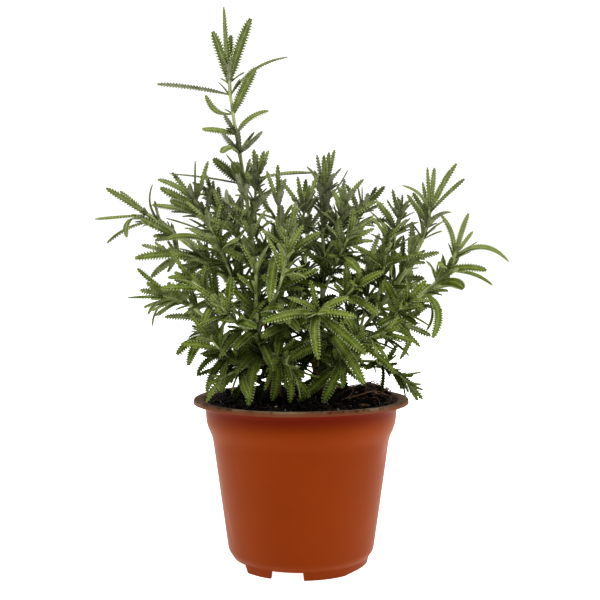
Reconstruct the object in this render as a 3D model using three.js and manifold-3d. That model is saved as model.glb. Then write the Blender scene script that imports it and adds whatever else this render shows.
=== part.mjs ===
// Fringed lavender, a young plant of two rooted cuttings, in a 13 cm plastic nursery pot.
// Millimetres, +Z up. The origin is the centre of the circle on which the pot's foot stands.
// The front faces -Y. Compass angles are in degrees from the front, turning towards +X.
import * as THREE from "three";
import { mergeVertices } from "three/addons/utils/BufferGeometryUtils.js";
import Module from "manifold-3d";

const wasm = await Module();
wasm.setup();

// ---- Driving dimensions: the pot ----
const POT_HEIGHT = 100.6;
const RIM_RADIUS = 65;
const LIP_DROP = 2.6; // how far the rim's outer edge turns down
const SHEET = 1.1; // thickness of the pot's wall
const COLLAR_RADIUS = 57.9; // just under the rim
const COLLAR_FOOT_RADIUS = 57.1;
const COLLAR_FOOT_Z = 85.2;
const SHOULDER_RADIUS = 53.5; // top of the tapered body
const SHOULDER_Z = 76.6;
const BODY_FOOT_RADIUS = 44;
const BODY_FOOT_Z = 9;
const BASE_RADIUS = 41.4; // edge of the underside
const BASE_Z = 5.5;
const FOOT_RADIUS = 39.9;
const FOOT_WALL = 2;
const POT_SEGMENTS = 32;
// Gaps in the foot ring: compass angle, width in degrees, height.
const FOOT_GAPS = [
  { at: -12, width: 29, height: BASE_Z - 0.4 },
  { at: 66, width: 52, height: 1.7 },
  { at: 104, width: 20, height: BASE_Z - 0.4 },
  { at: 152, width: 24, height: BASE_Z - 0.4 },
  { at: -158, width: 24, height: BASE_Z - 0.4 },
  { at: -86, width: 70, height: BASE_Z - 0.4 },
];
const DRAIN_HOLES = 6;
const DRAIN_RADIUS = 3.5;
const DRAIN_CIRCLE = 31;

// ---- Driving dimensions: the potting soil ----
const SOIL_GAP = 0.3; // between the soil and the pot's wall
const SOIL_LEVEL = 98.4;
const SOIL_EDGE_DROP = 1;
const LITTER_GAP = 0.5; // between the soil and a straw that lies on it
const MOUNDS = [
  { x: 43, y: 8, height: 10, reach: 16 },
  { x: -15, y: -2, height: 2.5, reach: 15 },
  { x: 12, y: 4, height: 2.5, reach: 15 },
  { x: -36, y: 20, height: 4.5, reach: 20 },
  { x: 0, y: 38, height: 4, reach: 24 },
];

// ---- Driving dimensions: the plant ----
const SEAT_GAP = 0.3; // between a shoot and the stem that carries it
const MAIN_STEM = 1.3; // half the diagonal of a main stem's square section
const SIDE_STEM = 0.95;
const SIDE_STEPS = 4; // straight lengths in a side shoot's stem
const LEAF_WIDTH = 6;
const LEAF_THICKNESS = 0.55;
const CLEARANCE = 0.2; // kept all round each leaf
const BOWS = [0, 3, -3, 6, -6, 9, -9, 12, -12]; // sideways bends that a side shoot may take
const SHIFTS = [...BOWS, 16, -16]; // moves in depth that a single leaf's tip may take
const SWINGS = [0, 14, -14, 28, -28, 42, -42]; // turns round the stem that a paired leaf may take
const SHRINKS = [1, 0.85, 0.7, 0.55];
const LOW_SPREAD = 72; // angle from the stem of a shoot's lowest leaves, in degrees
const TOP_SPREAD = 24;
const CROWN_RADIUS = 4;
const CROWN_HEIGHT = 13;
const CROWNS = {
  left: { name: "woody_base_left", x: -15, y: -2 },
  right: { name: "woody_base_right", x: 12, y: 4 },
};

// Main stems. seat: compass angle and height above the soil where the stem leaves its woody base.
// path: the points that it passes, ending at its tip. pairs: the stretch of stem with leaf pairs
// (as fractions of its length), their number, and the length of the longest leaf.
// leaves: single leaves, each [place on the stem, tip x, y, z, arch, share by which its face is
// turned from upwards to the front].
const MAIN_STEMS = [
  {
    name: "leader_stem",
    crown: "left",
    seat: [170, 11],
    path: [[-25, 7, 160], [-34, 10, 228], [-38, 10, 250], [-44, 9, 293]],
    leaves: [
      [0.985, -53, 3, 320, 1, 0.7],
      [0.985, -30, 0, 327, 1, 0.9],
      [0.985, -43, 18, 321, 1],
      [0.99, -47, 9, 337, 0],
      [0.945, -86, 0, 288, 1],
      [0.945, -8, 4, 305, 5, 0.5],
      [0.885, -59, 22, 285, -5, 0.3],
      [0.885, -27, -8, 296, 1, 0.9],
      [0.815, -59, -2, 261, 1, 0.6],
      [0.815, -20, 18, 275, 3, 0.4],
      [0.815, -46, 2, 270, 0],
      [0.75, -23, -10, 259, 0],
      [0.75, -46, -20, 245, 4, 0.5],
      [0.75, -47, -2, 259, 0],
      [0.75, -29, 20, 262, 0],
      [0.645, -78, -10, 234, 1, 0.35],
      [0.645, -40.5, -16, 240, 0, 1],
      [0.645, 7, 8, 236, 3, 0.3],
      [0.645, -52, -8, 243, 0, 0.9],
      [0.645, -27, 24, 244, 0],
    ],
  },
  {
    name: "high_left_stem",
    crown: "left",
    seat: [-110, 11],
    path: [[-31, -9, 149], [-46, -14, 174], [-60, -16, 187], [-77, -16, 200], [-92, -14, 211]],
    pairs: { from: 0.62, to: 0.84, count: 2, length: 28, turn: 60 },
    leaves: [
      [0.985, -114, -16, 225, 1, 0.9],
      [0.985, -108, -4, 224, 0],
      [0.98, -121, -14, 207, 0, 0.3],
      [0.93, -114, -14, 193, 3],
      [0.93, -99, -34, 196, 9, 0.4],
      [0.9, -89, -2, 228, 4],
      [0.8, -92, -26, 207, 0, 1],
      [0.66, -97, -18, 184, 2, 0.5],
      [0.56, -75, -30, 188, 3, 0.4],
    ],
  },
  {
    name: "low_left_stem",
    crown: "left",
    seat: [-80, 6],
    path: [[-33, -12, 116], [-41, -17, 129], [-56, -20, 149], [-66, -22, 158], [-75, -22, 162]],
    pairs: { from: 0.62, to: 0.86, count: 2, length: 24, turn: 20 },
    leaves: [
      [0.985, -97, -10, 178, 1],
      [0.985, -89, -26, 170, 1, 0.7],
      [0.985, -91, -38, 166, 1],
      [0.96, -102, -16, 161, 1],
      [0.94, -85, -46, 153, 5, 0.3],
      [0.92, -86, -26, 145, 6],
      [0.9, -91, 0, 152, 4],
      [0.53, -71, -34, 129, 5, 0.6],
      [0.53, -63, -46, 124, 6, 0.7],
      [0.53, -67, -8, 137, 4],
      [0.4, -53, -44, 109, 3, 0.8],
      [0.4, -61, -18, 116, 4, 0.8],
      [0.3, -55, -30, 130, 3, 0.7],
      [0.22, -44, -40, 111, 4, 0.8],
    ],
  },
  {
    name: "front_left_stem",
    crown: "left",
    seat: [-20, 9],
    path: [[-21, -22, 126], [-25, -38, 148], [-25, -46, 164], [-25, -50, 176]],
    pairs: { from: 0.4, to: 0.98, count: 5, length: 28, turn: 35 },
    leaves: [
      [0.34, -29, -50, 102.5, 7, 0.9],
      [0.2, -21, -42, 106, 5, 0.8],
      [0.3, -36, -50, 120, 5, 0.8],
      [0.42, -15, -54, 122, 5, 0.9],
    ],
  },
  {
    name: "centre_stem",
    crown: "left",
    seat: [40, 11],
    path: [[-12, -14, 150], [-12, -19, 185], [-13, -20, 216]],
    pairs: { from: 0.5, to: 0.98, count: 5, length: 26, turn: 10 },
    leaves: [
      [0.72, -17, -62, 160, 8, 0.5],
      [0.3, -14, -40, 112, 6, 0.8],
      [0.2, -30, -26, 116, 4, 0.9],
      [0.12, -4, -22, 107, 4, 0.9],
      [0.985, -20, -16, 235, 0, 0.8],
      [0.985, -13.5, -22, 238, 0, 1],
    ],
  },
  {
    name: "tall_centre_stem",
    crown: "right",
    seat: [-40, 11],
    path: [[12, -7, 150], [13, -7, 185], [14, -1, 224]],
    pairs: { from: 0.5, to: 0.98, count: 5, length: 28, turn: 50 },
    leaves: [
      [0.985, 9.5, -4, 245.5, 0, 0.2],
      [0.985, 13.5, -9, 244.5, 0, 1],
      [0.985, 17, 5, 248, 0, 0.9],
      [0.985, 20.5, 1, 250, 0, 0.1],
      [0.94, 28, 1, 237, -1],
      [0.8, 17, -22, 211, 4, 0.4],
      [0.3, 0, -28, 131, 4, 0.9],
      [0.25, 29, -16, 124, 4, 0.9],
      [0.15, -3, -20, 111, 4, 0.9],
      [0.1, 27, -22, 108, 4, 0.9],
    ],
  },
  {
    name: "high_right_stem",
    crown: "right",
    seat: [110, 11],
    path: [[34, 5, 136], [48, 3, 155], [60, 0, 172], [70, -3, 189], [75, -5, 203], [77, -6, 214]],
    pairs: { from: 0.5, to: 0.84, count: 3, length: 24, turn: 75 },
    leaves: [
      [0.985, 75, -6, 238, 0, 0.8],
      [0.985, 81, 7, 239, 0],
      [0.985, 91, 11, 238, 0],
      [0.98, 92, -9, 240, 1, 0.9],
      [0.97, 95, -20, 230, 1, 0.5],
      [0.96, 73.5, 4, 230, 0, 0.4],
      [0.95, 61, 6, 228, 5, 0.2],
      [0.95, 66, -12, 222.5, 0, 0.9],
      [0.92, 62, -18, 221, 0, 0.9],
      [0.9, 87, -20, 211, 3],
      [0.9, 67, -22, 215, 2, 0.5],
    ],
  },
  {
    name: "low_right_stem",
    crown: "right",
    seat: [70, 6],
    path: [[36, -3, 128], [52, -6, 146], [72, -10, 163], [80, -12, 169], [86, -14, 178], [92, -15, 188]],
    leaves: [
      [0.985, 101, 2, 211, -2, 0.3],
      [0.985, 102, -8, 200, 1, 0.8],
      [0.98, 103, -16, 194, 0],
      [0.96, 83, -7, 210, 3, 0.9],
      [0.95, 123, -10, 182, 8, 0.35],
      [0.88, 115, -2, 168, 3],
      [0.88, 107, -26, 177, 2, 0.85],
      [0.88, 78, -36, 180, 2, 0.4],
      [0.8, 91, -44, 167, 3, 0.9],
      [0.8, 77, 10, 182, 2],
      [0.72, 76, -26, 138, 6, 0.8],
      [0.72, 75, -6, 141, 4],
      [0.62, 85, 14, 164, 4],
      [0.5, 58, -18, 125, 8, 0.5],
      [0.52, 34, -30, 132, 3, 1],
      [0.5, 60, 16, 150, 4],
    ],
  },
  {
    name: "front_right_stem",
    crown: "right",
    seat: [10, 8],
    path: [[17, -24, 128], [17, -42, 144], [9, -62, 155]],
    pairs: { from: 0.45, to: 0.8, count: 3, length: 26, turn: 0 },
    leaves: [
      [0.985, 25, -76, 163, 2],
      [0.985, 30, -62, 152, 2],
      [0.985, 9, -84, 131, 6, 0.5],
      [0.985, -7, -78, 163, 2],
      [0.985, 5, -60, 172, 0],
      [0.94, 35, -66, 132, 4, 0.9],
      [0.62, 34, -56, 116.5, 3, 0.9],
      [0.5, -7, -48, 127, 4, 0.9],
      [0.94, -20, -76, 150, 4],
      [0.985, 14, -93, 157, 1],
    ],
  },
  {
    name: "back_left_stem",
    crown: "left",
    seat: [-160, 8],
    path: [[-26, 26, 138], [-36, 46, 162], [-43, 64, 184]],
    pairs: { from: 0.4, to: 0.98, count: 6, length: 28, turn: 15 },
  },
  {
    name: "back_right_stem",
    crown: "right",
    seat: [160, 8],
    path: [[26, 30, 136], [36, 50, 160], [45, 66, 182]],
    pairs: { from: 0.4, to: 0.98, count: 6, length: 28, turn: 70 },
    leaves: [[0.985, 53, 93, 190, 1]],
  },
  {
    name: "back_centre_stem",
    crown: "right",
    seat: [-150, 9],
    path: [[2, 26, 150], [3, 38, 185], [5, 44, 214]],
    pairs: { from: 0.4, to: 0.98, count: 6, length: 28, turn: 40 },
    leaves: [
      [0.3, -14, 42, 132, 3, 0.9],
      [0.25, 21, 30, 126, 3, 0.9],
      [0.2, -9, 42, 117, 3, 0.9],
      [0.12, -18, 28, 110, 3, 0.9],
      [0.12, 16, 36, 109, 3, 0.9],
    ],
  },
];

// Single leaves of some side shoots, as above. Those at the top stand up, and old ones low at
// the front hang over the soil down to the rim.
const SHOOT_LEAVES = {
  shoot_leader_right: [
    [0.985, -28, -6, 248.5, 0, 0.2],
    [0.985, -26, -11, 245.5, 0, 1],
    [0.985, -22, -2, 248, 0, 0.9],
    [0.985, -19.5, 4, 249, 0, 0.8],
    [0.95, 6, -8, 234.5, 1, 0.2],
    [0.9, -19, -10, 211, 0, 0.5],
  ],
  shoot_leader_left: [
    [0.97, -66, 0, 220, 3, 0.1],
    [0.9, -54, -18, 225, 2, 0.8],
  ],
  shoot_high_left_upper: [
    [0.985, -62.5, -10, 241.5, 0, 0.2],
    [0.97, -55, -14, 241.5, 0, 0.7],
    [0.98, -76.5, -6, 235, 1, 0.1],
    [0.94, -83, -22, 229.5, 3, 0.6],
    [0.9, -81, -26, 224.5, 0, 0.8],
    [0.8, -75, -30, 217, 0, 0.9],
    [0.8, -90, 4, 216.5, 1],
    [0.5, -79, -16, 207.5, 1, 0.1],
    [0.35, -76, -34, 195, 5, 0.5],
  ],
  shoot_centre_right: [
    [0.985, -12, -16, 230, 0, 0.8],
    [0.985, -2, -17, 231.5, 0, 1],
    [0.97, 3, -5, 231, -2, 0.1],
    [0.985, 5, -19, 226.5, 0, 1],
    [0.985, 10, -8, 234, 0, 0.8],
    [0.4, -26, -24, 210, 6, 0.3],
  ],
  shoot_centre_front: [[0.9, -14, -44, 207, -2, 0.5]],
  shoot_tall_right: [
    [0.985, 21, -19, 226, 0, 0.9],
    [0.97, 23, -9, 226, 0, 0.1],
    [0.6, 44, -24, 217, 1, 0.6],
  ],
  shoot_tall_front: [[0.9, 42, -28, 207, 4, 0.2]],
  shoot_tall_far_right: [
    [0.9, 27, -2, 228, 1, 0.8],
    [0.985, 34.5, 8, 228, 0, 0.1],
    [0.985, 37.5, 11, 227.5, 0, 0.1],
    [0.985, 45.5, 3, 227, 1, 0.8],
    [0.96, 50, -3, 227, 1, 0.8],
  ],
  shoot_high_right_upper: [
    [0.985, 54.5, -5, 225, 0, 0.7],
    [0.98, 51.5, -9, 219, 0, 0.4],
    [0.985, 56, -12, 218, 0, 0.9],
    [0.8, 45, -12, 217, 1, 0.7],
    [0.6, 41, -16, 211, 2, 0.2],
  ],
  shoot_front_left_low: [[0.75, -45, -40, 108, 3, 0.8]],
  shoot_front_left_rim: [
    [0.85, -6, -52, 104, 3, 0.9],
    [0.5, -16, -46, 104, 4, 0.9],
  ],
  shoot_centre_low: [
    [0.5, -22, -50, 140, 3, 0.9],
    [0.8, -1, -56, 144, 3, 0.9],
    [0.4, -4, -44, 122, 4, 0.9],
  ],
  shoot_front_right_low: [
    [0.4, -2, -46, 104, 4, 0.9],
    [0.7, 12, -52, 104, 4, 0.8],
  ],
  shoot_back_left_low: [
    [0.5, -54, 58, 112, 3, 0.9],
    [0.4, -28, 60, 109, 3, 0.9],
    [0.25, -16, 50, 108, 3, 0.9],
  ],
  shoot_back_right_low: [
    [0.5, 44, 62, 110, 3, 0.9],
    [0.4, 22, 62, 108, 3, 0.9],
    [0.25, 10, 50, 108, 3, 0.9],
  ],
};

// Side shoots: [name, carrying stem, place on it, tip x, y, z, leaf pairs, leaf length, turn].
const SIDE_SHOOTS = [
  ["shoot_leader_right", "leader_stem", 0.5, -27, -4, 233, 4, 18, 20],
  ["shoot_leader_left", "leader_stem", 0.42, -52, 1, 220, 4, 24, 0],
  ["shoot_leader_back", "leader_stem", 0.48, -46, 40, 216, 5, 26, 45],
  ["shoot_leader_low", "leader_stem", 0.28, -58, 30, 186, 4, 27, 80],
  ["shoot_leader_front", "leader_stem", 0.36, -44, -22, 208, 4, 25, 30],
  ["shoot_high_left_upper", "high_left_stem", 0.5, -63, -12, 218, 4, 22, 50],
  ["shoot_high_left_front", "high_left_stem", 0.42, -52, -42, 203, 5, 26, 10],
  ["shoot_high_left_low", "high_left_stem", 0.55, -82, 12, 188, 4, 25, 70],
  ["shoot_high_left_under", "high_left_stem", 0.3, -62, -44, 172, 4, 27, 25],
  ["shoot_high_left_inner", "high_left_stem", 0.26, -28, -34, 196, 5, 26, 60],
  ["shoot_low_left_back", "low_left_stem", 0.4, -70, 16, 160, 4, 27, 15],
  ["shoot_low_left_front", "low_left_stem", 0.24, -50, -46, 138, 4, 26, 40],
  ["shoot_front_left_low", "front_left_stem", 0.22, -42, -44, 118, 3, 27, 55],
  ["shoot_front_left_rim", "front_left_stem", 0.34, -6, -54, 124, 4, 27, 5],
  ["shoot_front_left_side", "front_left_stem", 0.5, -44, -58, 158, 4, 26, 85],
  ["shoot_front_left_top", "front_left_stem", 0.62, -8, -62, 184, 4, 27, 30],
  ["shoot_centre_left", "centre_stem", 0.6, -32, -26, 218, 4, 24, 65],
  ["shoot_centre_right", "centre_stem", 0.6, 2, -13, 212, 3, 22, 20],
  ["shoot_centre_front", "centre_stem", 0.46, -6, -44, 196, 4, 28, 75],
  ["shoot_centre_low", "centre_stem", 0.24, -8, -40, 150, 4, 27, 10],
  ["shoot_tall_right", "tall_centre_stem", 0.66, 26, -15, 216, 4, 24, 35],
  ["shoot_tall_far_right", "tall_centre_stem", 0.56, 38, 7, 213, 4, 22, 60],
  ["shoot_tall_front", "tall_centre_stem", 0.46, 27, -38, 196, 5, 27, 15],
  ["shoot_tall_back", "tall_centre_stem", 0.5, 24, 24, 216, 4, 26, 80],
  ["shoot_tall_low", "tall_centre_stem", 0.26, 30, -46, 168, 4, 27, 50],
  ["shoot_high_right_upper", "high_right_stem", 0.55, 59, -2, 208, 4, 22, 25],
  ["shoot_high_right_front", "high_right_stem", 0.42, 50, -26, 194, 5, 26, 70],
  ["shoot_high_right_back", "high_right_stem", 0.48, 72, 32, 192, 5, 26, 40],
  ["shoot_high_right_low", "high_right_stem", 0.28, 44, 34, 176, 4, 27, 5],
  ["shoot_low_right_front", "low_right_stem", 0.4, 60, -38, 160, 5, 26, 55],
  ["shoot_low_right_twig", "low_right_stem", 0.2, 62, -26, 112, 5, 17, 30],
  ["shoot_low_right_back", "low_right_stem", 0.3, 66, 24, 146, 4, 26, 75],
  ["shoot_front_right_side", "front_right_stem", 0.42, 44, -52, 142, 4, 27, 20],
  ["shoot_front_right_low", "front_right_stem", 0.24, 27, -50, 135, 3, 26, 65],
  ["shoot_back_left_out", "back_left_stem", 0.45, -66, 50, 168, 5, 27, 35],
  ["shoot_back_left_low", "back_left_stem", 0.26, -40, 58, 130, 4, 27, 80],
  ["shoot_back_left_top", "back_left_stem", 0.6, -20, 58, 196, 5, 26, 10],
  ["shoot_back_right_out", "back_right_stem", 0.45, 68, 54, 164, 5, 27, 45],
  ["shoot_back_right_low", "back_right_stem", 0.26, 32, 62, 128, 4, 27, 15],
  ["shoot_back_centre_low", "back_centre_stem", 0.3, -6, 66, 166, 5, 27, 60],
  ["shoot_back_centre_side", "back_centre_stem", 0.5, 26, 56, 202, 5, 26, 30],
];

const COLOURS = {
  pot: { color: 0x8c3a18, roughness: 0.45 },
  soil: { color: 0x241a12, roughness: 1 },
  wood: { color: 0x5e4630, roughness: 0.85 },
  shoot: { color: 0x6c7c42, roughness: 0.7 },
  straw: { color: 0x9a7b52, roughness: 0.8 },
};

// ---- Small helpers ----

const up = new THREE.Vector3(0, 0, 1);
const front = new THREE.Vector3(0, -1, 0.1);

function vector([x, y, z]) {
  return new THREE.Vector3(x, y, z);
}

// The horizontal direction of a compass angle.
function compass(degrees) {
  const a = THREE.MathUtils.degToRad(degrees);
  return new THREE.Vector3(Math.sin(a), -Math.cos(a), 0);
}

// The part of a vector that is square to an axis, at unit length.
function squareTo(v, axis) {
  return v.clone().addScaledVector(axis, -v.dot(axis)).normalize();
}

// A repeatable number from -1 to 1 for each whole number.
function jitter(n) {
  const mixed = Math.imul(n ^ (n >>> 15), 0x2c1b3c6d) ^ 0x9e3779b9;
  return ((Math.imul(mixed ^ (mixed >>> 12), 0x297a2d39) >>> 8) % 2001) / 1000 - 1;
}

// Only positions, with shared corners and no triangle that has shrunk to a line.
function welded(geometry) {
  const bare = geometry.clone();
  bare.deleteAttribute("normal");
  bare.deleteAttribute("uv");
  const merged = mergeVertices(bare, 1e-4);
  const index = merged.index.array;
  const kept = [];
  for (let i = 0; i < index.length; i += 3) {
    const [a, b, c] = [index[i], index[i + 1], index[i + 2]];
    if (a !== b && b !== c && c !== a) kept.push(a, b, c);
  }
  merged.setIndex(kept);
  return merged;
}

function toSolid(geometry) {
  const g = welded(geometry);
  return new wasm.Manifold(
    new wasm.Mesh({
      numProp: 3,
      vertProperties: g.attributes.position.array,
      triVerts: new Uint32Array(g.index.array),
    }),
  );
}

function toGeometry(solid) {
  const { vertProperties, triVerts } = solid.getMesh();
  const g = new THREE.BufferGeometry();
  g.setAttribute("position", new THREE.BufferAttribute(vertProperties, 3));
  g.setIndex(new THREE.BufferAttribute(triVerts, 1));
  return g;
}

function fused(geometries) {
  return toGeometry(wasm.Manifold.union(geometries.map(toSolid)));
}

const lavender = new THREE.Group();
lavender.name = "potted_lavender";

function add(name, geometry, look) {
  const flat = geometry.index ? geometry.toNonIndexed() : geometry;
  flat.computeVertexNormals();
  const mesh = new THREE.Mesh(flat, new THREE.MeshStandardMaterial({ metalness: 0, ...look }));
  mesh.name = name;
  lavender.add(mesh);
}

// ---- Pot ----

// A turned solid: the outline's x is the radius and its y the height.
function turned(outline, segments, curvePoints) {
  return new THREE.LatheGeometry(outline.getPoints(curvePoints), segments).rotateX(Math.PI / 2);
}

// Up the outside from the underside, over the rim, and down the inside to the floor.
function potOutline() {
  const o = new THREE.Path();
  const lipZ = POT_HEIGHT - LIP_DROP;
  o.moveTo(0, BASE_Z);
  o.lineTo(FOOT_RADIUS - FOOT_WALL, BASE_Z);
  o.lineTo(FOOT_RADIUS - FOOT_WALL, 0);
  o.lineTo(FOOT_RADIUS, 0);
  o.lineTo(BASE_RADIUS, BASE_Z);
  o.quadraticCurveTo(BODY_FOOT_RADIUS - 0.4, BODY_FOOT_Z - 2, BODY_FOOT_RADIUS, BODY_FOOT_Z);
  o.lineTo(SHOULDER_RADIUS, SHOULDER_Z);
  o.bezierCurveTo(53.9, 79.2, 56.6, 82.6, COLLAR_FOOT_RADIUS, COLLAR_FOOT_Z);
  o.lineTo(COLLAR_RADIUS, lipZ - 4);
  o.quadraticCurveTo(COLLAR_RADIUS + 0.3, lipZ + 0.6, RIM_RADIUS - SHEET, lipZ - 0.4);
  o.lineTo(RIM_RADIUS, lipZ);
  o.quadraticCurveTo(RIM_RADIUS - 0.4, POT_HEIGHT, RIM_RADIUS - 2.6, POT_HEIGHT);
  o.lineTo(COLLAR_RADIUS + 0.8, POT_HEIGHT - 0.2);
  o.quadraticCurveTo(COLLAR_RADIUS - 1, POT_HEIGHT - 0.6, COLLAR_RADIUS - SHEET, lipZ - 4);
  o.lineTo(COLLAR_FOOT_RADIUS - SHEET, COLLAR_FOOT_Z);
  o.bezierCurveTo(55.5, 82.6, 52.8, 79.2, SHOULDER_RADIUS - SHEET, SHOULDER_Z);
  o.lineTo(BODY_FOOT_RADIUS - SHEET, BODY_FOOT_Z);
  o.lineTo(BODY_FOOT_RADIUS - SHEET - 1.2, BASE_Z + SHEET);
  o.lineTo(0, BASE_Z + SHEET);
  return o;
}

// A block that takes one gap out of the foot ring.
function footGapCutter({ at, width, height }) {
  const across = 2 * FOOT_RADIUS * Math.sin(THREE.MathUtils.degToRad(width / 2));
  const deep = 20;
  const block = new THREE.BoxGeometry(across, deep, height + 1);
  const middle = compass(at).multiplyScalar(FOOT_RADIUS);
  block.rotateZ(THREE.MathUtils.degToRad(at));
  block.translate(middle.x, middle.y, (height - 1) / 2);
  return block;
}

function drainHoleCutter(i) {
  const hole = new THREE.CylinderGeometry(DRAIN_RADIUS, DRAIN_RADIUS, 6 * SHEET, 8);
  hole.rotateX(Math.PI / 2);
  const middle = compass((i * 360) / DRAIN_HOLES + 15).multiplyScalar(DRAIN_CIRCLE);
  hole.translate(middle.x, middle.y, BASE_Z + SHEET / 2);
  return hole;
}

function addPot() {
  let pot = toSolid(turned(potOutline(), POT_SEGMENTS, 2));
  for (const gap of FOOT_GAPS) {
    pot = pot.subtract(toSolid(footGapCutter(gap)));
  }
  for (let i = 0; i < DRAIN_HOLES; i++) {
    pot = pot.subtract(toSolid(drainHoleCutter(i)));
  }
  add("nursery_pot", toGeometry(pot), COLOURS.pot);
}

// ---- Soil and what lies on it ----

function soilHeight(x, y) {
  const edge = Math.min(1, Math.hypot(x, y) / (COLLAR_RADIUS - SHEET));
  let z = SOIL_LEVEL - SOIL_EDGE_DROP * edge ** 4;
  for (const m of MOUNDS) {
    const away = Math.hypot(x - m.x, y - m.y) / m.reach;
    z += m.height * Math.exp(-away * away) * (1 - 0.4 * edge ** 6);
  }
  return z;
}

function addSoil() {
  const inset = SHEET + SOIL_GAP;
  const o = new THREE.Path();
  o.moveTo(0, BASE_Z + inset);
  o.lineTo(BODY_FOOT_RADIUS - inset - 1.4, BASE_Z + inset);
  o.lineTo(BODY_FOOT_RADIUS - inset - 0.2, BODY_FOOT_Z);
  o.lineTo(SHOULDER_RADIUS - inset - 0.2, SHOULDER_Z);
  o.lineTo(COLLAR_FOOT_RADIUS - inset - 0.6, COLLAR_FOOT_Z);
  const wallRadius = COLLAR_RADIUS - inset - 0.6;
  const rings = 6;
  for (let i = 0; i <= rings; i++) {
    o.lineTo(wallRadius * (1 - i / rings), SOIL_LEVEL);
  }
  const soil = turned(o, 32, 1);
  const p = soil.attributes.position;
  for (let i = 0; i < p.count; i++) {
    if (p.getZ(i) > SOIL_LEVEL - 0.01) p.setZ(i, soilHeight(p.getX(i), p.getY(i)));
  }
  add("potting_soil", welded(soil), COLOURS.soil);
}

// A straw lies on the soil: a thin four-sided rod that follows its humps.
function addStraw(name, from, to, radius) {
  const steps = 5;
  const points = [];
  for (let i = 0; i <= steps; i++) {
    const x = THREE.MathUtils.lerp(from[0], to[0], i / steps);
    const y = THREE.MathUtils.lerp(from[1], to[1], i / steps);
    points.push(new THREE.Vector3(x, y, soilHeight(x, y) + radius + LITTER_GAP));
  }
  add(name, rod(new THREE.CatmullRomCurve3(points), radius, steps + 1), COLOURS.straw);
}

function addBarkChip(name, x, y, size) {
  const chip = new THREE.IcosahedronGeometry(size, 0).scale(1.4, 0.8, 0.35);
  chip.rotateZ(0.5);
  chip.translate(x, y, soilHeight(x, y) + 0.35 * size + SEAT_GAP);
  add(name, welded(chip), COLOURS.wood);
}

// ---- Finding room for stems and leaves ----

// Every stem and leaf so far, as triangles and edges, so that the next one can keep clear.
const grown = [];

// The faces of a closed shape. A leaf's first faces, which sink into its own stem, are its foot.
function facesOf(geometry, isFoot) {
  const g = welded(geometry);
  const p = g.attributes.position;
  const corner = (i) => new THREE.Vector3().fromBufferAttribute(p, i);
  const body = { triangles: [], edges: [] };
  const foot = { triangles: [], edges: [] };
  const index = g.index.array;
  for (let i = 0; i < index.length; i += 3) {
    const ends = [corner(index[i]), corner(index[i + 1]), corner(index[i + 2])];
    const part = isFoot && ends.some(isFoot) ? foot : body;
    part.triangles.push(new THREE.Triangle(...ends));
    for (let k = 0; k < 3; k++) {
      const next = (k + 1) % 3;
      if (index[i + k] < index[i + next]) part.edges.push(new THREE.Line3(ends[k], ends[next]));
    }
  }
  const box = new THREE.Box3().setFromBufferAttribute(p);
  return { box, body, foot };
}

const ray = new THREE.Ray();
const hit = new THREE.Vector3();

function edgesCut(edges, triangles) {
  for (const edge of edges) {
    ray.origin.copy(edge.start);
    ray.direction.copy(edge.end).sub(edge.start).normalize();
    const length = edge.distance();
    for (const { a, b, c } of triangles) {
      const meets = ray.intersectTriangle(a, b, c, false, hit);
      if (meets && hit.distanceTo(edge.start) < length) return true;
    }
  }
  return false;
}

function cross(a, b) {
  return edgesCut(a.edges, b.triangles) || edgesCut(b.edges, a.triangles);
}

// Leaves of one shoot may meet at their feet, where they are fused to the same stem.
function isClear(shape, node) {
  for (const other of grown) {
    if (!other.box.intersectsBox(shape.box)) continue;
    if (cross(shape.body, other.body)) return false;
    if (cross(shape.body, other.foot)) return false;
    if (other.node === node && other.isStem) continue;
    if (cross(shape.foot, other.body)) return false;
    if (other.node !== node && cross(shape.foot, other.foot)) return false;
  }
  return true;
}

// The pot's rim and the soil are below every point of a leaf.
function isAboveGround(point) {
  const r = Math.hypot(point.x, point.y);
  if (r > RIM_RADIUS + 1.5) return true;
  if (r > COLLAR_RADIUS - 2) return point.z > POT_HEIGHT + 1;
  return point.z > soilHeight(point.x, point.y) + 1;
}

// ---- Stems ----

// A rod of square section along a curve. radius is half the section's diagonal.
function rod(curve, radius, steps) {
  const square = new THREE.Shape();
  square.moveTo(radius, 0);
  square.lineTo(0, radius);
  square.lineTo(-radius, 0);
  square.lineTo(0, -radius);
  square.closePath();
  return new THREE.ExtrudeGeometry(square, { steps, extrudePath: curve });
}

function rememberStem(node, curve, radius, steps) {
  grown.push({ node, isStem: true, ...facesOf(rod(curve, radius, steps)) });
}

const shoots = new Map();

function addWoodyBase({ name, x, y }) {
  const o = new THREE.Path();
  o.moveTo(0, 0);
  o.lineTo(CROWN_RADIUS, 0);
  o.lineTo(CROWN_RADIUS - 1, 4);
  o.lineTo(CROWN_RADIUS, 8);
  o.lineTo(CROWN_RADIUS - 0.8, CROWN_HEIGHT - 1.5);
  o.lineTo(0, CROWN_HEIGHT);
  const base = turned(o, 10, 1);
  base.translate(x, y, highestSoil(x, y) + SEAT_GAP);
  add(name, welded(base), COLOURS.wood);
  grown.push({ node: name, isStem: true, ...facesOf(base) });
}

// The highest soil under a woody base.
function highestSoil(x, y) {
  let z = soilHeight(x, y);
  for (let a = 0; a < 360; a += 30) {
    const out = compass(a).multiplyScalar(CROWN_RADIUS);
    z = Math.max(z, soilHeight(x + out.x, y + out.y));
  }
  return z;
}

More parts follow.
